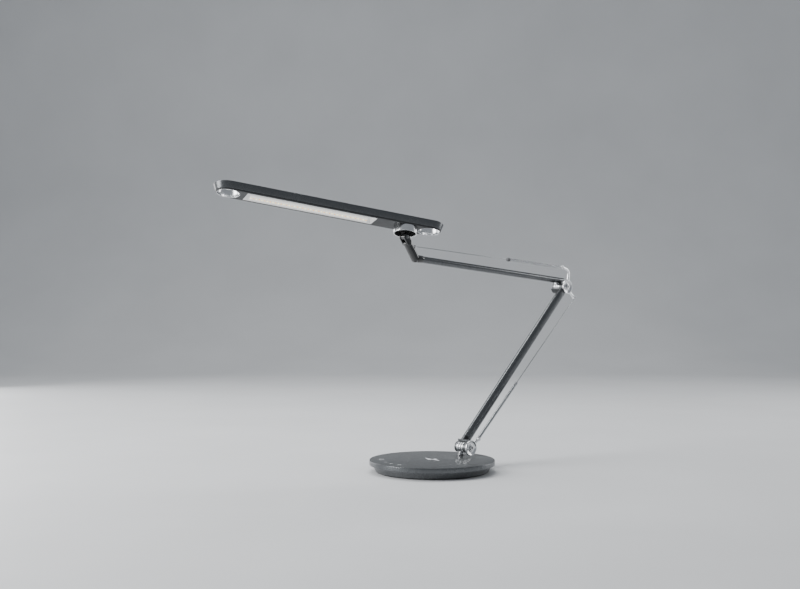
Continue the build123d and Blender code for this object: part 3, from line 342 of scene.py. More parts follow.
finish("bush_steel", (0.20, 0.20, 0.21), (0.34, 0.34, 0.35), 1.0, 0.22, 0.36, "lathe", 4200, 0.006)
finish("carrier_black", (0.012, 0.012, 0.012), (0.028, 0.028, 0.028), 0.0, 0.42, 0.60, mark=1600, depth=0.03)
finish("ferrite_grey", (0.035, 0.034, 0.034), (0.075, 0.073, 0.072), 0.2, 0.50, 0.72, mark=1200, depth=0.03)
finish("copper_wire", (0.42, 0.16, 0.06), (0.66, 0.30, 0.13), 1.0, 0.24, 0.38, "lathe", 2600, 0.01)
finish("board_green", (0.008, 0.055, 0.022), (0.016, 0.095, 0.040), 0.0, 0.32, 0.48, mark=900, depth=0.02)
finish("socket_black", (0.008, 0.008, 0.008), (0.020, 0.020, 0.020), 0.0, 0.24, 0.40, mark=1900, depth=0.01)
# The well's faint emission is painted glow: the well is a reflector, not a lamp.
finish("well_white", (0.76, 0.76, 0.75), (0.88, 0.88, 0.87), 0.0, 0.30, 0.44, mark=1800, depth=0.008,
       glow=((1.0, 0.97, 0.92), 0.06))
# The strip's emission is painted glow: the strip and the housings are not lamps.
finish("strip_white", (0.70, 0.70, 0.67), (0.82, 0.82, 0.79), 0.0, 0.36, 0.50, mark=1200, depth=0.01,
       glow=((1.0, 0.96, 0.88), 0.55))
finish("led_warm", (0.90, 0.45, 0.08), (1.0, 0.55, 0.14), 0.0, 0.20, 0.32, mark=2600, depth=0.005,
       glow=((1.0, 0.38, 0.03), 1.4))
finish("led_cool", (0.92, 0.86, 0.60), (1.0, 0.94, 0.72), 0.0, 0.20, 0.32, mark=2600, depth=0.005,
       glow=((1.0, 0.80, 0.28), 2.0))
finish("sensor_dark", (0.006, 0.006, 0.008), (0.014, 0.014, 0.018), 0.0, 0.06, 0.14, mark=1500, depth=0.002, coat=0.5)

for row in frame["record"]["subparts"]:
    node = frame["nodes"][row["node"]]
    node.data.materials.clear()
    node.data.materials.append(finishes[row["material_slot"]])

# ======================================================================= bench work

SHARP_EDGE = radians(28)


def turned(profile, steps=96, soft=0.0, ring=False):
    """A shape spun about its own z, from (radius, height) points. soft rounds the inner corners of the profile."""
    bm = bmesh.new()
    verts = [bm.verts.new((r, 0, h)) for r, h in profile]
    for pair in zip(verts, verts[1:]):
        bm.edges.new(pair)
    if ring:
        bm.edges.new((verts[-1], verts[0]))
    if soft:
        bmesh.ops.bevel(bm, geom=verts if ring else verts[1:-1], offset=soft, segments=3, profile=0.5,
                        affect="VERTICES", material=-1)
    bmesh.ops.spin(bm, geom=bm.verts[:] + bm.edges[:], cent=(0, 0, 0), axis=(0, 0, 1), angle=2 * pi,
                   steps=steps, use_merge=True)
    bmesh.ops.remove_doubles(bm, verts=bm.verts, dist=0.0005)
    bmesh.ops.recalc_face_normals(bm, faces=bm.faces)
    return bm


def stadium(bm, half_span, radius, height, centre=0.0, segments=128):
    """A closed line of two half rounds joined by straights, as edges."""
    turn = Matrix.Rotation(pi / segments, 4, "Z")
    made = bmesh.ops.create_circle(bm, segments=segments, radius=radius, matrix=turn)
    for vert in made["verts"]:
        vert.co.x += half_span if vert.co.x > 0 else -half_span
    bmesh.ops.translate(bm, verts=made["verts"], vec=(centre, 0, height))
    return edges_of(made["verts"])


def hoop(bm, radius, height, centre=(0.0, 0.0), segments=96):
    made = bmesh.ops.create_circle(bm, segments=segments, radius=radius)
    bmesh.ops.translate(bm, verts=made["verts"], vec=(centre[0], centre[1], height))
    return edges_of(made["verts"])


def verts_in(items):
    return [item for item in items if isinstance(item, bmesh.types.BMVert)]


def edges_of(verts):
    chosen = set(verts)
    return list({edge for vert in verts for edge in vert.link_edges if edge.other_vert(vert) in chosen})


def skin(bm, loops):
    """Joins each loop of edges to the next."""
    for first, second in zip(loops, loops[1:]):
        bmesh.ops.bridge_loops(bm, edges=first + second)


def fill(bm, *loops):
    """A flat face inside the first loop, with the others as holes."""
    bmesh.ops.triangle_fill(bm, edges=[edge for loop in loops for edge in loop], use_beauty=True)


def corner(round_r, steps=4):
    """Insets and drops of a rounded edge, from the side wall to the flat."""
    return [(round_r * (1 - cos(a)), round_r * (1 - sin(a)))
            for a in (pi / 2 * i / steps for i in range(steps + 1))]


def block(size, centre, bevel):
    """A box with its edges taken off."""
    bm = bmesh.new()
    bmesh.ops.create_cube(bm, size=1.0, matrix=Matrix.Translation(centre) @ Matrix.Diagonal((*size, 1)))
    bmesh.ops.bevel(bm, geom=bm.edges[:], offset=bevel, segments=1, profile=0.5, affect="EDGES", material=-1)
    return bm


def merged(*parts):
    """Several bench shapes, each with its own placing matrix, as one."""
    whole = bmesh.new()
    for part, where in parts:
        part.transform(where)
        spare = bpy.data.meshes.new("spare")
        part.to_mesh(spare)
        whole.from_mesh(spare)
        part.free()
        bpy.data.meshes.remove(spare)
    return whole


def settle(bm, name, place, body, finish_name, *stands_for):
    """Makes a piece from a bench shape, keeps its own frame on it, and rides it on a body."""
    own = bm.verts.layers.float_vector.new("own")
    for vert in bm.verts:
        vert[own] = vert.co * MM
    bm.transform(Matrix.Scale(MM, 4) @ place)
    mesh = bpy.data.meshes.new(name)
    bm.to_mesh(mesh)
    bm.free()
    mesh.shade_smooth()
    mesh.set_sharp_from_angle(angle=SHARP_EDGE)
    piece = bpy.data.objects.new(name, mesh)
    bpy.context.scene.collection.objects.link(piece)
    mesh.materials.append(finishes[finish_name])
    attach(piece, body)
    if stands_for:
        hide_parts(*stands_for)
    return piece


def at(x=0.0, y=0.0, z=0.0):
    return Matrix.Translation((x, y, z))


# ======================================================================= base

FOOT_R = 101
FOOT_T = 2
BASE_R = 115
BASE_H = 22
RIM_FOOT = 13
RIM_IN = 106
TOP_UNDER = 19
BUSH_HOLE = 5.05
BUSH_R = 7
BUSH_FLANGE_R = 8.5
BUSH_FOOT = 12.6
BUSH_TOP = 22.8

foot = turned([(0, 0), (FOOT_R - 0.6, 0), (FOOT_R, 0.6), (FOOT_R, FOOT_T), (0, FOOT_T)], 192)
settle(foot, "rubber_foot", TABLE, "base", "foot_rubber", "foot_pad")
top = turned([(0, TOP_UNDER), (RIM_IN, TOP_UNDER), (RIM_IN, RIM_FOOT), (BASE_R, RIM_FOOT), (BASE_R, BASE_H),
              (0, BASE_H)], 256, soft=0.9)
settle(top, "base_top", TABLE, "base", "graphite_satin", "top_plate")
bush = turned([(BUSH_HOLE, BUSH_FOOT), (BUSH_R, BUSH_FOOT), (BUSH_R, BASE_H), (BUSH_FLANGE_R, BASE_H),
               (BUSH_FLANGE_R, BUSH_TOP), (BUSH_HOLE, BUSH_TOP)], 64, soft=0.2, ring=True)
settle(bush, "post_bush", POST, "base", "bush_steel", "swivel_bush")

SIGN_T = 0.06
BOLT_CORNERS = ((-25, 5.5), (1, -10), (1.6, -1.4), (25, -5.5), (-1, 10), (-1.6, 1.4))
sign = bmesh.new()
sign_face = sign.faces.new([sign.verts.new((x, y, 0)) for x, y in BOLT_CORNERS])
raised = bmesh.ops.extrude_face_region(sign, geom=[sign_face])["geom"]
bmesh.ops.translate(sign, verts=verts_in(raised), vec=(0, 0, SIGN_T))
bmesh.ops.triangulate(sign, faces=sign.faces[:])
bmesh.ops.recalc_face_normals(sign, faces=sign.faces)
settle(sign, "charging_sign", TABLE @ at(z=BASE_H + 0.005), "base", "mark_white", "charge_mark")

# ---- charging coil: flat on its underside, with a rounded ridge for each turn of wire
COIL_TURNS = 14
COIL_IN = 10.5
COIL_PITCH = 0.96
COIL_FOOT = 16.0
TURN_SIDE = 17.4
TURN_TOP = 18.1
TURN_SECTION = ((0.06, TURN_SIDE), (0.28, TURN_TOP), (0.72, TURN_TOP), (0.94, TURN_SIDE))
coil_profile = [(COIL_IN, COIL_FOOT)]
for turn in range(COIL_TURNS):
    coil_profile += [(COIL_IN + COIL_PITCH * (turn + share), height) for share, height in TURN_SECTION]
coil_profile.append((COIL_IN + COIL_PITCH * COIL_TURNS, COIL_FOOT))
settle(turned(coil_profile, 72, ring=True), "coil_winding", TABLE, "base", "copper_wire", "charging_coil")

# ======================================================================= post

knuckle = [(4.05, -5.0), (10.0, -5.0), (10.0, 0.2), (9.3, 0.2), (9.3, 1.1), (10.0, 1.1), (10.0, 6.0), (9.3, 6.0),
           (9.3, 6.9), (10.0, 6.9), (10.0, 12.0), (4.05, 12.0)]
stem = [(0, 7), (3.8, 7), (3.8, 12.6), (5, 12.6), (5, 23.1), (6, 23.1), (6, 27.4), (4.9, 27.4), (4.9, 30), (0, 30)]
post = merged((turned(stem, 64, soft=0.3), POST),
              (turned(knuckle, 96, soft=0.22, ring=True), bench(LOW_HINGE, (0, 1, 0), X_WAY)))
settle(post, "post_knuckle", Matrix.Identity(4), "post", "barrel_grey", "swivel_post")

# ======================================================================= caps, screws and stay hardware

CAP_R = 14.4
CAP_T = 4.0


SCREW_SEAT = 2.8
DISH_FLOOR = 1.8


def dished_cap():
    """A cap with a raised rim, a dish inside it, and a seat for its screw."""
    return turned([(1.7, 0), (CAP_R - 0.6, 0), (CAP_R, 0.6), (CAP_R, CAP_T - 0.6), (14.0, CAP_T - 0.1),
                   (13.4, CAP_T), (12.6, 3.6), (10.8, 2.4), (9.0, DISH_FLOOR), (6.9, DISH_FLOOR), (6.2, 2.3),
                   (5.8, SCREW_SEAT), (1.7, SCREW_SEAT)], 96, soft=0.25, ring=True)


def socket_head(head_r, head_t, key_r, key_depth):
    """A round screw head with a hexagon socket, its face up."""
    bm = bmesh.new()
    rings = [hoop(bm, head_r, 0, segments=48), hoop(bm, head_r, head_t - 0.6, segments=48)]
    rings += [hoop(bm, head_r - inset * 0.6, head_t - drop * 0.6, segments=48) for inset, drop in corner(1.0, 3)[1:]]
    rim = hoop(bm, key_r + 0.35, head_t, segments=48)
    skin(bm, rings + [rim])
    mouth = hoop(bm, key_r, head_t - 0.25, segments=6)
    skin(bm, [rim, mouth])
    floor = hoop(bm, key_r, head_t - key_depth, segments=6)
    skin(bm, [mouth, floor])
    point = hoop(bm, key_r * 0.2, head_t - key_depth - 0.4, segments=6)
    skin(bm, [floor, point])
    fill(bm, point)
    fill(bm, rings[0])
    bmesh.ops.recalc_face_normals(bm, faces=bm.faces)
    return bm


AXLE_R = 4
AXLE_HEAD_R = 7.0
AXLE_HEAD_T = 1.6


def axle(length):
    """A hinge axle with its head below the origin."""
    shaft = turned([(0, 0), (AXLE_R, 0), (AXLE_R, length), (0, length)], 48, soft=0.3)
    head = turned([(0, 0), (2.2, 0), (2.6, 0.5), (AXLE_HEAD_R, 0.5), (AXLE_HEAD_R, AXLE_HEAD_T), (0, AXLE_HEAD_T)],
                  64, soft=0.25)
    return merged((shaft, at()), (head, at(z=-AXLE_HEAD_T)))


# Each hinge: its names in the looks and in the design, its middle, where along x its cap and its axle start,
# the axle's length, and its body.
HINGES = (
    ("low", "lower", LOW_HINGE, 22.9, -8.3, 32.4, "lower_arm"),
    ("elbow", "elbow", ELBOW_HINGE, 4.2, -25.3, 30.7, "upper_arm"),
)
for tag, cad, hinge, cap_x, axle_x, axle_l, body in HINGES:
    cap_place = bench(hinge + X_WAY * cap_x, (0, 1, 0), X_WAY)
    settle(dished_cap(), tag + "_hinge_cap", cap_place, body, "satin_metal", cad + "_cap")
    bolt_place = bench(hinge + X_WAY * (cap_x + SCREW_SEAT), (0, 1, 0.3), X_WAY)
    settle(socket_head(4.3, 2.2, 2.3, 1.8), tag + "_cap_bolt", bolt_place, body, "bright_screw", cad + "_cap_screw")
    axle_place = bench(hinge + X_WAY * axle_x, (0, 1, 0), X_WAY)
    settle(axle(axle_l), tag + "_hinge_axle", axle_place, body, "bright_screw", cad + "_axle")


def eye(hole_r, outer_r, thick):
    """A small ring with rounded rims, standing about its middle."""
    half = thick / 2
    return turned([(hole_r, -half), (outer_r, -half), (outer_r, half), (hole_r, half)], 40, soft=thick * 0.22, ring=True)


def bent_rod(points, radius):
    """A round rod along a smooth line through bench points, its ends closed."""
    line = bpy.data.curves.new("rod_line", "CURVE")
    line.dimensions = "3D"
    line.bevel_depth = radius
    line.bevel_resolution = 5
    line.use_fill_caps = True
    line.resolution_u = 16
    spline = line.splines.new("NURBS")
    spline.points.add(len(points) - 1)
    for spot, place in zip(spline.points, points):
        spot.co = (*place, 1.0)
    spline.order_u = 3
    spline.use_endpoint_u = True
    holder = bpy.data.objects.new("rod_holder", line)
    mesh = bpy.data.meshes.new_from_object(holder)
    bm = bmesh.new()
    bm.from_mesh(mesh)
    bmesh.ops.remove_doubles(bm, verts=bm.verts, dist=0.001)
    bmesh.ops.recalc_face_normals(bm, faces=bm.faces)
    bpy.data.objects.remove(holder)
    bpy.data.curves.remove(line)
    bpy.data.meshes.remove(mesh)
    return bm


ROD_R = 2.7
upper_horn = bent_rod([(7, 4, 0), (8.0, 16, 0), (10.2, 29.5, 0), (2.5, 36.6, 0), (-8.2, 38.9, 0)], ROD_R)
lower_horn = bent_rod([(6, -5, 0), (15, -12.6, 0), (24.2, -20.5, 0)], ROD_R)
lever_hub = turned([(4.02, -1.7), (9, -1.7), (9, 1.7), (4.02, 1.7)], 64, soft=0.3, ring=True)
for horn in (upper_horn, lower_horn):
    near = [vert for vert in horn.verts if vert.co.xy.length < CAP_R + 1]
    for vert in near:
        vert.co.z = max(-1.6, min(1.6, vert.co.z))
settle(merged((upper_horn, at()), (lower_horn, at()), (lever_hub, at()), (eye(1.5, 3.6, 2.4), at(*LEVER_TIP)),
              (eye(1.5, 3.6, 2.4), at(*LEVER_TAIL))), "spring_lever", LEVER, "upper_arm", "bright_rod", "balance_lever")


def coil(length, outer_r, wire_r):
    """A close wound spring, its turns a touch apart, made by spinning a wire's section up its axis."""
    steps = 18
    pitch = wire_r * 2.06
    turns = int((length - 2 * wire_r) / pitch)
    bm = bmesh.new()
    stand = at(outer_r - wire_r, 0, wire_r) @ Matrix.Rotation(pi / 2, 4, "X")
    ring = bmesh.ops.create_circle(bm, segments=6, radius=wire_r, cap_ends=False, matrix=stand)["verts"]
    start_edges = edges_of(ring)
    step = pitch / steps
    ends = bmesh.ops.spin(bm, geom=ring + start_edges, cent=(0, 0, 0), axis=(0, 0, 1), dvec=(0, 0, step),
                          angle=2 * pi * turns, steps=turns * steps)
    fill(bm, start_edges)
    fill(bm, [item for item in ends["geom_last"] if isinstance(item, bmesh.types.BMEdge)])
    bmesh.ops.recalc_face_normals(bm, faces=bm.faces)
    return bm


def hook(r, wire_r):
    """A closed wire loop standing in the bench's x-z plane, its foot at the origin."""
    bm = bmesh.new()
    ring = bmesh.ops.create_circle(bm, segments=12, radius=wire_r)["verts"]
    edges = edges_of(ring)
    bmesh.ops.spin(bm, geom=ring + edges, cent=(r, 0, 0), axis=(0, 1, 0), angle=2 * pi, steps=40, use_merge=True)
    bmesh.ops.remove_doubles(bm, verts=bm.verts, dist=0.001)
    bmesh.ops.translate(bm, verts=bm.verts, vec=(-r, 0, r))
    bmesh.ops.recalc_face_normals(bm, faces=bm.faces)
    return bm


def rod(radius, length, soft=0.15):
    return turned([(0, 0), (radius, 0), (radius, length), (0, length)], 16, soft=soft)


SPRING_R = 3.1
SPRING_WIRE_R = 0.5
WIRE_R = 0.8
STAY_SPRING_Z = 14.0
STAY_SPRING_L = 148.0
settle(merged((hook(3.4, WIRE_R), at()), (rod(WIRE_R, STAY_SPRING_Z - 6.4), at(z=6.4))), "stay_loop", STAY,
       "upper_arm", "wire_steel", "stay_hook")
settle(merged((coil(STAY_SPRING_L, SPRING_R, SPRING_WIRE_R), at(z=STAY_SPRING_Z)),
              (rod(1.9, 3.0, 0.5), at(z=STAY_SPRING_Z - 0.6)),
              (rod(1.9, 3.0, 0.5), at(z=STAY_SPRING_Z + STAY_SPRING_L - 2.4))), "stay_coil", STAY,
       "upper_arm", "spring_steel", "stay_spring")
bead_z = STAY_SPRING_Z + STAY_SPRING_L
settle(turned([(0.8, 0), (3.2, 0), (3.7, 0.8), (3.7, 2.4), (3.3, 2.7), (3.3, 3.3), (3.7, 3.6), (3.7, 5.2), (3.0, 6),
               (0.8, 6)], 48, soft=0.2, ring=True), "stay_stop_bead", STAY @ at(z=bead_z), "upper_arm", "dark_steel",
       "stay_bead")
settle(rod(WIRE_R, STAY_L - bead_z - 2.6), "stay_run", STAY @ at(z=bead_z), "upper_arm", "wire_steel", "stay_wire")
ball = turned([(0, -2.8)] + [(2.8 * sin(pi * i / 12), -2.8 * cos(pi * i / 12)) for i in range(1, 12)] + [(0, 2.8)], 32)
stud = turned([(0, 0), (1.8, 0), (1.8, 2.4), (2.6, 2.4), (2.6, 3.4), (0, 3.4)], 32, soft=0.15)
settle(merged((ball, at()), (stud, at())), "stay_ball", bench(ANCHOR, NECK.col[0].xyz, NECK.col[1].xyz), "upper_arm",
       "bright_screw", "stay_anchor")

LINK_SPRING_Z = 4.5
LINK_SPRING_L = 150.0
LINK_WIRE_Z = 100.0
low_eye = bench(STAY_LOW + X_WAY * -0.1, (0, 1, 0), X_WAY)
settle(merged((coil(LINK_SPRING_L, SPRING_R, SPRING_WIRE_R), LINK @ at(z=LINK_SPRING_Z)),
              (rod(1.9, 3.0, 0.5), LINK @ at(z=LINK_SPRING_Z - 0.6)), (eye(1.3, 3.4, 2.0), low_eye)),
       "link_coil", Matrix.Identity(4), "lower_arm", "spring_steel", "link_spring")
high_eye = bench(STAY_HIGH, (0, 1, 0), X_WAY)
settle(merged((rod(WIRE_R, LINK_L - LINK_WIRE_Z - 2.4), LINK @ at(z=LINK_WIRE_Z)), (eye(1.3, 3.2, 2.0), high_eye)),
       "link_run", Matrix.Identity(4), "link_wire", "wire_steel", "link_wire")

# ======================================================================= arms

TUBE1_W = 18.4
TUBE1_T = 12.0


def flat_oval_tube(width, thick, wall, length):
    """A tube of flat oval section, its wide way along y, its length along z."""
    bm = bmesh.new()
    half_span = (width - thick) / 2
    inner = thick / 2 - wall
    loops = [stadium(bm, half_span, thick / 2, 0, segments=64), stadium(bm, half_span, thick / 2, length, segments=64),
             stadium(bm, half_span, inner, length, segments=64), stadium(bm, half_span, inner, 0, segments=64)]
    skin(bm, loops + [loops[0]])
    bmesh.ops.recalc_face_normals(bm, faces=bm.faces)
    return bm


TUBE1_START = 22.0
TUBE1_L = 435.0 - 2 * TUBE1_START
settle(flat_oval_tube(TUBE1_W, TUBE1_T, 1.5, TUBE1_L), "low_arm_tube",
       bench(LOW_ARM @ Vector((TUBE1_START, 0, 0)), LOW_ARM.col[1].xyz, LOW_ARM.col[0].xyz), "lower_arm",
       "arm_graphite", "lower_arm_tube")

SET_SCREWS = (27.0, 35.0)
screws = []
for arm_end in (LOW_ARM, ARM_TOP):
    for along in SET_SCREWS:
        screw = turned([(0, -0.5), (0.7, -0.5), (0.95, 0.1), (1.6, 0.1), (1.75, -0.05), (1.75, -0.5)], 32)
        screws.append((screw, bench(arm_end @ Vector((along, TUBE1_W / 2, 0)), X_WAY, arm_end.col[1].xyz)))
settle(merged(*screws), "tube_set_screws", Matrix.Identity(4), "lower_arm", "dark_steel", "fork_screws")

TUBE2_R = 6.3
TUBE2_BORE = 5.1
TUBE2_FROM = -9
TUBE2_TO = 416
tube = turned([(TUBE2_BORE, TUBE2_FROM), (TUBE2_R, TUBE2_FROM), (TUBE2_R, TUBE2_TO), (TUBE2_BORE, TUBE2_TO)], 96,
              ring=True)
settle(tube, "high_arm_tube", HIGH_TUBE, "upper_arm", "arm_graphite", "upper_arm_tube")
plug = turned([(0, -10.2), (5.6, -10.2), (TUBE2_R, -9.5), (TUBE2_R, TUBE2_FROM), (TUBE2_BORE, TUBE2_FROM),
               (TUBE2_BORE, -1), (0, -1)], 64, soft=0.12)
settle(plug, "high_arm_plug", HIGH_TUBE, "upper_arm", "satin_metal", "tube_plug")

# ---- neck: a rounded bar with a sleeve on the tube and two ears for the head's pin
NECK_HALF = 6.5
NECK_R = 7.75
neck_bar = bmesh.new()
bar_span = (NECK_L - 7.5 - NECK_R) / 2
rounds = corner(5.6, 8)
loops = [stadium(neck_bar, bar_span, NECK_R - inset, -NECK_HALF + drop, bar_span) for inset, drop in reversed(rounds)]
loops += [stadium(neck_bar, bar_span, NECK_R - inset, NECK_HALF - drop, bar_span) for inset, drop in rounds]
skin(neck_bar, loops)
fill(neck_bar, loops[0])
fill(neck_bar, loops[-1])
for vert in neck_bar.verts:
    over = (vert.co.x - 2 * bar_span) / NECK_R
    if over > 0:
        vert.co.x = 2 * bar_span + NECK_R * over ** 0.4
bmesh.ops.recalc_face_normals(neck_bar, faces=neck_bar.faces)


def ear(thick):
    """A fork ear: a round end on a straight root."""
    bm = bmesh.new()
    edge = corner(0.5, 2)
    rings = [stadium(bm, 6, 6.4 - inset, drop, -6, segments=64) for inset, drop in reversed(edge)]
    rings += [stadium(bm, 6, 6.4 - inset, thick - drop, -6, segments=64) for inset, drop in edge]
    skin(bm, rings)
    fill(bm, rings[0])
    fill(bm, rings[-1])
    bmesh.ops.recalc_face_normals(bm, faces=bm.faces)
    return bm


EAR_T = 2.5
EAR_IN = 4.5
SLEEVE_R = 7.2
SLEEVE_BORE = 6.32
SLEEVE_FROM = UPPER_L - 17
SLEEVE_TO = UPPER_L - 4
sleeve = turned([(SLEEVE_BORE, SLEEVE_FROM), (SLEEVE_R, SLEEVE_FROM), (SLEEVE_R, SLEEVE_TO),
                 (SLEEVE_BORE, SLEEVE_TO)], 64, soft=0.35, ring=True)
neck = merged((neck_bar, NECK), (ear(EAR_T), NECK @ at(NECK_L, 0, EAR_IN)),
              (ear(EAR_T), NECK @ at(NECK_L, 0, -EAR_IN - EAR_T)), (sleeve, HIGH_TUBE))
settle(neck, "head_neck", Matrix.Identity(4), "upper_arm", "neck_black", "neck")
pin_head = turned([(0, 0), (3.8, 0), (3.8, 1), (0, 1)], 40, soft=0.25)
settle(merged((turned([(0, -7), (2.5, -7), (2.5, 7), (0, 7)], 32), at()), (pin_head, at(z=7)),
              (pin_head.copy(), at(z=-8))), "neck_cross_pin", NECK @ at(NECK_L), "upper_arm", "dark_steel", "neck_pin")

# ======================================================================= head joint

DRUM_HOLE = 5
DRUM_R = 21.6
DRUM_BORE = 19.6
DRUM_UNDER = -3.6
DRUM_LIP = -12
DRUM_PLACE = DRUM @ at(z=-0.3)
drum_wall = turned([(DRUM_HOLE, 0), (DRUM_R, 0), (DRUM_R, DRUM_LIP), (DRUM_BORE, DRUM_LIP), (DRUM_BORE, DRUM_UNDER),
                    (DRUM_HOLE, DRUM_UNDER)], 160, soft=0.5, ring=True)
# A thin black sheet over the drum's bore and the ceiling of its hollow: painted shade.
drum_painted_shade_lining = turned([(DRUM_HOLE, DRUM_UNDER), (19.55, DRUM_UNDER), (19.55, -11.6), (18.6, -11.6), (18.6, -4),
                      (DRUM_HOLE, -4)], 96, ring=True)
lug = bmesh.new()
lug_loops = [stadium(lug, 3, 3.6, height, 3, segments=48) for height in (4.05, 7.05)]
skin(lug, lug_loops)
fill(lug, lug_loops[0])
fill(lug, lug_loops[1])
bmesh.ops.recalc_face_normals(lug, faces=lug.faces)
settle(drum_wall, "head_drum", DRUM_PLACE, "swivel_drum", "satin_metal", "swivel_drum")
other_side = ROLL @ Matrix.Scale(-1, 4, (0, 0, 1))
# The black sheet inside the drum, merged here with the two lugs, is painted shade.
settle(merged((drum_painted_shade_lining, DRUM_PLACE), (lug, ROLL), (lug.copy(), other_side)), "drum_painted_shade_lining", Matrix.Identity(4),
       "swivel_drum", "carrier_black")

# ======================================================================= head

UNDER_HALF = 21.0
TOP_HALF = 26.5
HEAD_T = 14.5
SPAN = 188.5
MID = 141.7
FRAME_T = 2.6
REAR_RING = (-46.8, 0.0)
FRONT_RING = (330.2, 0.0)
RING_R = 19.0
TRIM_R = 20.2
PROUD = 0.25
WALL = 1.8
SEAM = 0.12


def bar_line(bm, height, inset=0.0):
    """The bar's outline at a height: the walls lean outward towards the top."""
    reach = UNDER_HALF + (TOP_HALF - UNDER_HALF) * height / HEAD_T
    return stadium(bm, SPAN, reach - inset, height, MID)


cover = bmesh.new()
edge = corner(1.3, 5)
loops = [bar_line(cover, FRAME_T + SEAM, 0.25), bar_line(cover, FRAME_T + SEAM + 0.25)]
loops += [bar_line(cover, HEAD_T - drop, inset) for inset, drop in edge]
skin(cover, loops)
inside = [bar_line(cover, FRAME_T + SEAM, WALL), bar_line(cover, HEAD_T - WALL, WALL)]
skin(cover, inside)
fill(cover, loops[0], inside[0])
tops = [hoop(cover, TRIM_R, HEAD_T, place) for place in (REAR_RING, FRONT_RING)]
ceilings = [hoop(cover, TRIM_R, HEAD_T - WALL, place) for place in (REAR_RING, FRONT_RING)]
fill(cover, loops[-1], *tops)
fill(cover, inside[1], *ceilings)
for top, ceiling in zip(tops, ceilings):
    skin(cover, [top, ceiling])
bmesh.ops.recalc_face_normals(cover, faces=cover.faces)
settle(cover, "bar_cover", HEAD, "head", "graphite_satin", "head_cover")

LIGHT_X0 = 61.0
LIGHT_X1 = 300.0
LIGHT_HALF = 17.0
SENSOR = (304.6, 12.0)


def rectangle(bm, x0, x1, half, height):
    """A closed rectangle of edges."""
    made = bmesh.ops.create_grid(bm, x_segments=1, y_segments=1, size=1.0)["verts"]
    bmesh.ops.delete(bm, geom=list({face for vert in made for face in vert.link_faces}), context="FACES_ONLY")
    for vert in made:
        vert.co = ((x0 + x1) / 2 + vert.co.x * (x1 - x0) / 2, vert.co.y * half, height)
    return edges_of(made)


tray = bmesh.new()
edge = corner(0.4, 3)
loops = [bar_line(tray, drop, inset) for inset, drop in reversed(edge)]
loops += [bar_line(tray, FRAME_T - 0.25), bar_line(tray, FRAME_T, 0.25)]
skin(tray, loops)
holes_low = [hoop(tray, TRIM_R, 0, REAR_RING), hoop(tray, TRIM_R, 0, FRONT_RING), hoop(tray, 5.05, 0, segments=48),
             hoop(tray, 1.6, 0, SENSOR, 24), rectangle(tray, LIGHT_X0, LIGHT_X1, LIGHT_HALF, 0)]
holes_high = [hoop(tray, TRIM_R, FRAME_T, REAR_RING), hoop(tray, TRIM_R, FRAME_T, FRONT_RING),
              hoop(tray, 5.05, FRAME_T, segments=48), hoop(tray, 1.6, FRAME_T, SENSOR, 24),
              rectangle(tray, LIGHT_X0, LIGHT_X1, LIGHT_HALF, FRAME_T)]
fill(tray, loops[0], *holes_low)
fill(tray, loops[-1], *holes_high)
for low, high in zip(holes_low, holes_high):
    skin(tray, [low, high])
bmesh.ops.recalc_face_normals(tray, faces=tray.faces)
# The underside wears the darker copy of the graphite finish, which is painted shade.
underside = settle(tray, "bar_underside", HEAD, "head", "graphite_painted_shade", "head_frame")

for tag, place in (("rear", REAR_RING), ("front", FRONT_RING)):
    lining = turned([(RING_R + 0.5, -PROUD), (TRIM_R, -PROUD), (TRIM_R, HEAD_T + PROUD),
                     (RING_R + 0.5, HEAD_T + PROUD), (RING_R, HEAD_T - 0.7), (RING_R, 0.7)], 128, soft=0.25, ring=True)
    settle(lining, tag + "_finger_ring", HEAD @ at(*place), "head", "satin_metal", tag + "_ring_trim")

# ---- light points on the well's leaning wall: a white housing with a domed lens, warm and cool by turns
LED_COUNT = 44
HOUSE_W = 2.8
HOUSE_T = 0.6
STRIP_L = LIGHT_X1 - LIGHT_X0 - 20.0
led_step = STRIP_L / LED_COUNT
WALL_LOW = Vector((0, -15.7, 0.2))
WALL_HIGH = Vector((0, -4.0, 7.8))
along_bar = HEAD.col[0].xyz
up_wall = HEAD.to_3x3() @ (WALL_HIGH - WALL_LOW)
WALL_BENCH = bench(HEAD @ ((WALL_LOW + WALL_HIGH) / 2 + Vector(((LIGHT_X0 + LIGHT_X1) / 2, 0, 0))), along_bar,
                   up_wall.cross(along_bar)) @ at(-STRIP_L / 2, 0, 1.0)
for tag, first, finish_name in (("warm", 0, "led_warm"), ("cool", 1, "led_cool")):
    spots = []
    for i in range(first, LED_COUNT, 2):
        lens = turned([(0, 0.4), (0.6, 0.36), (1.05, 0.22), (1.15, 0), (0, 0)], 12)
        spots.append((lens, at(led_step * (i + 0.5), 0, 0.55)))
    piece = settle(merged(*spots), tag + "_light_points", WALL_BENCH, "head", finish_name)
# The housings take the strip finish, so they carry its painted glow.
houses = [(block((HOUSE_W, HOUSE_W, HOUSE_T), (0, 0, HOUSE_T / 2), 0.12), at(led_step * (i + 0.5)))
          for i in range(LED_COUNT)]
settle(merged(*houses), "light_point_housings", WALL_BENCH, "head", "strip_white", "leds")
settle(turned([(0, -0.1), (1.2, -0.1), (1.55, 0.2), (1.55, 3.9), (0, 3.9)], 32, soft=0.08), "sensor_window",
       HEAD @ at(*SENSOR), "head", "sensor_dark", "light_sensor")

# ======================================================================= stage, light and camera


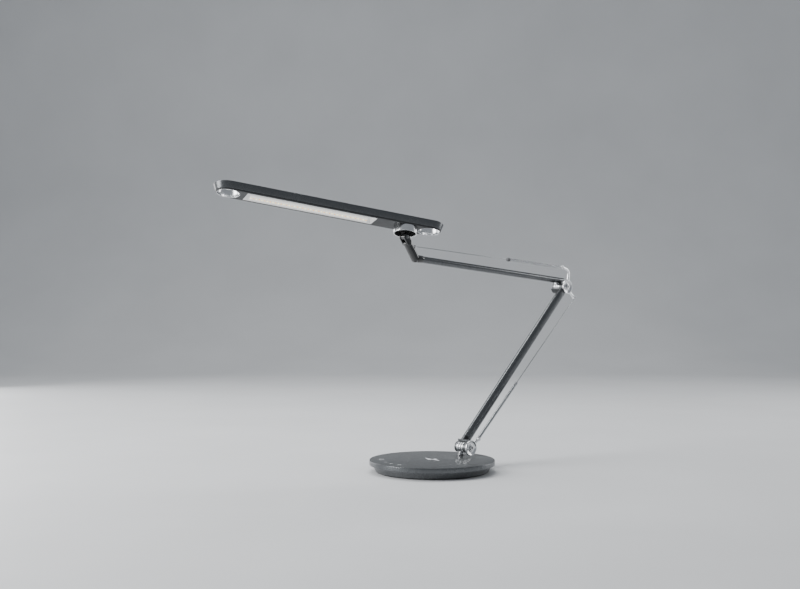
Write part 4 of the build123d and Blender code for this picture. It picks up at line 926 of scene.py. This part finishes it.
def plain_stage_finish():
    material = bpy.data.materials.new("pale_stage")
    material.use_nodes = True
    tree = material.node_tree
    skin_node = tree.nodes["Principled BSDF"]
    tone = noise(tree, object_place(tree), 3.0, 4.0, 0.5)
    tree.links.new(mix_colour(tree, spread(tree, tone, 0.3, 0.7), (0.62, 0.63, 0.64), (0.66, 0.67, 0.68)),
                   skin_node.inputs["Base Color"])
    skin_node.inputs["Roughness"].default_value = 0.55
    return material


VIEW_AZIMUTH = radians(46)
view_way = Vector((-sin(VIEW_AZIMUTH), cos(VIEW_AZIMUTH), 0))
side_way = Vector((cos(VIEW_AZIMUTH), sin(VIEW_AZIMUTH), 0))

sweep = bmesh.new()
rise = bmesh.ops.create_grid(sweep, x_segments=1, y_segments=1, size=1.0)["verts"]
for vert in rise:
    vert.co = (vert.co.x * 9, -9 if vert.co.y < 0 else 2.6, 0)
far_edge = [edge for edge in sweep.edges if all(vert.co.y > 0 for vert in edge.verts)]
bend = bmesh.ops.spin(sweep, geom=far_edge + list(far_edge[0].verts), cent=(0, 2.6, 1.6), axis=(1, 0, 0),
                      angle=radians(84), steps=24)
raised = bmesh.ops.extrude_edge_only(sweep, edges=edges_of(verts_in(bend["geom_last"])))["geom"]
bmesh.ops.translate(sweep, verts=verts_in(raised), vec=(0, 0.6, 6))
sweep.transform(Matrix.Rotation(VIEW_AZIMUTH, 4, "Z"))
bmesh.ops.recalc_face_normals(sweep, faces=sweep.faces)
stage_mesh = bpy.data.meshes.new("stage_sweep")
sweep.to_mesh(stage_mesh)
sweep.free()
stage_mesh.shade_smooth()
stage_mesh.materials.append(plain_stage_finish())
stage = bpy.data.objects.new("stage_sweep", stage_mesh)
bpy.context.scene.collection.objects.link(stage)


def soft_box(name, place, target, width, height, power, colour=(1, 1, 1)):
    lamp = bpy.data.lights.new(name, "AREA")
    lamp.shape = "RECTANGLE"
    lamp.size = width
    lamp.size_y = height
    lamp.energy = power
    lamp.color = colour
    holder = bpy.data.objects.new(name, lamp)
    holder.location = place
    holder.rotation_euler = (Vector(target) - Vector(place)).to_track_quat("-Z", "Y").to_euler()
    bpy.context.scene.collection.objects.link(holder)


def around(side, away, height):
    """A place by its way to the right of the view, away from the camera, and up, in metres."""
    return side_way * side + view_way * away + Vector((0, 0, height))


AIM = (0, 0, 0.25)
soft_box("key_box", around(-2.1, -0.5, 1.2), AIM, 1.3, 2.0, 78)
soft_box("left_back_box", around(-1.7, 1.5, 0.7), AIM, 0.9, 1.4, 16)
soft_box("right_back_box", around(2.3, 1.1, 0.8), AIM, 0.8, 1.5, 20)
soft_box("top_box", around(-0.3, 0.9, 2.4), AIM, 2.2, 1.2, 55)
world = bpy.data.worlds.new("studio")
world.use_nodes = True
world.node_tree.nodes["Background"].inputs["Color"].default_value = (0.55, 0.58, 0.62, 1.0)
world.node_tree.nodes["Background"].inputs["Strength"].default_value = 0.6
bpy.context.scene.world = world

camera_data = bpy.data.cameras.new("view")
camera_data.lens = 52.83
camera_data.sensor_width = 36.0
camera_data.clip_end = 50
camera = bpy.data.objects.new("view", camera_data)
camera.location = (1.507, -1.537, 0.324)
camera.rotation_euler = (radians(90), 0, VIEW_AZIMUTH)
bpy.context.scene.collection.objects.link(camera)
bpy.context.scene.camera = camera
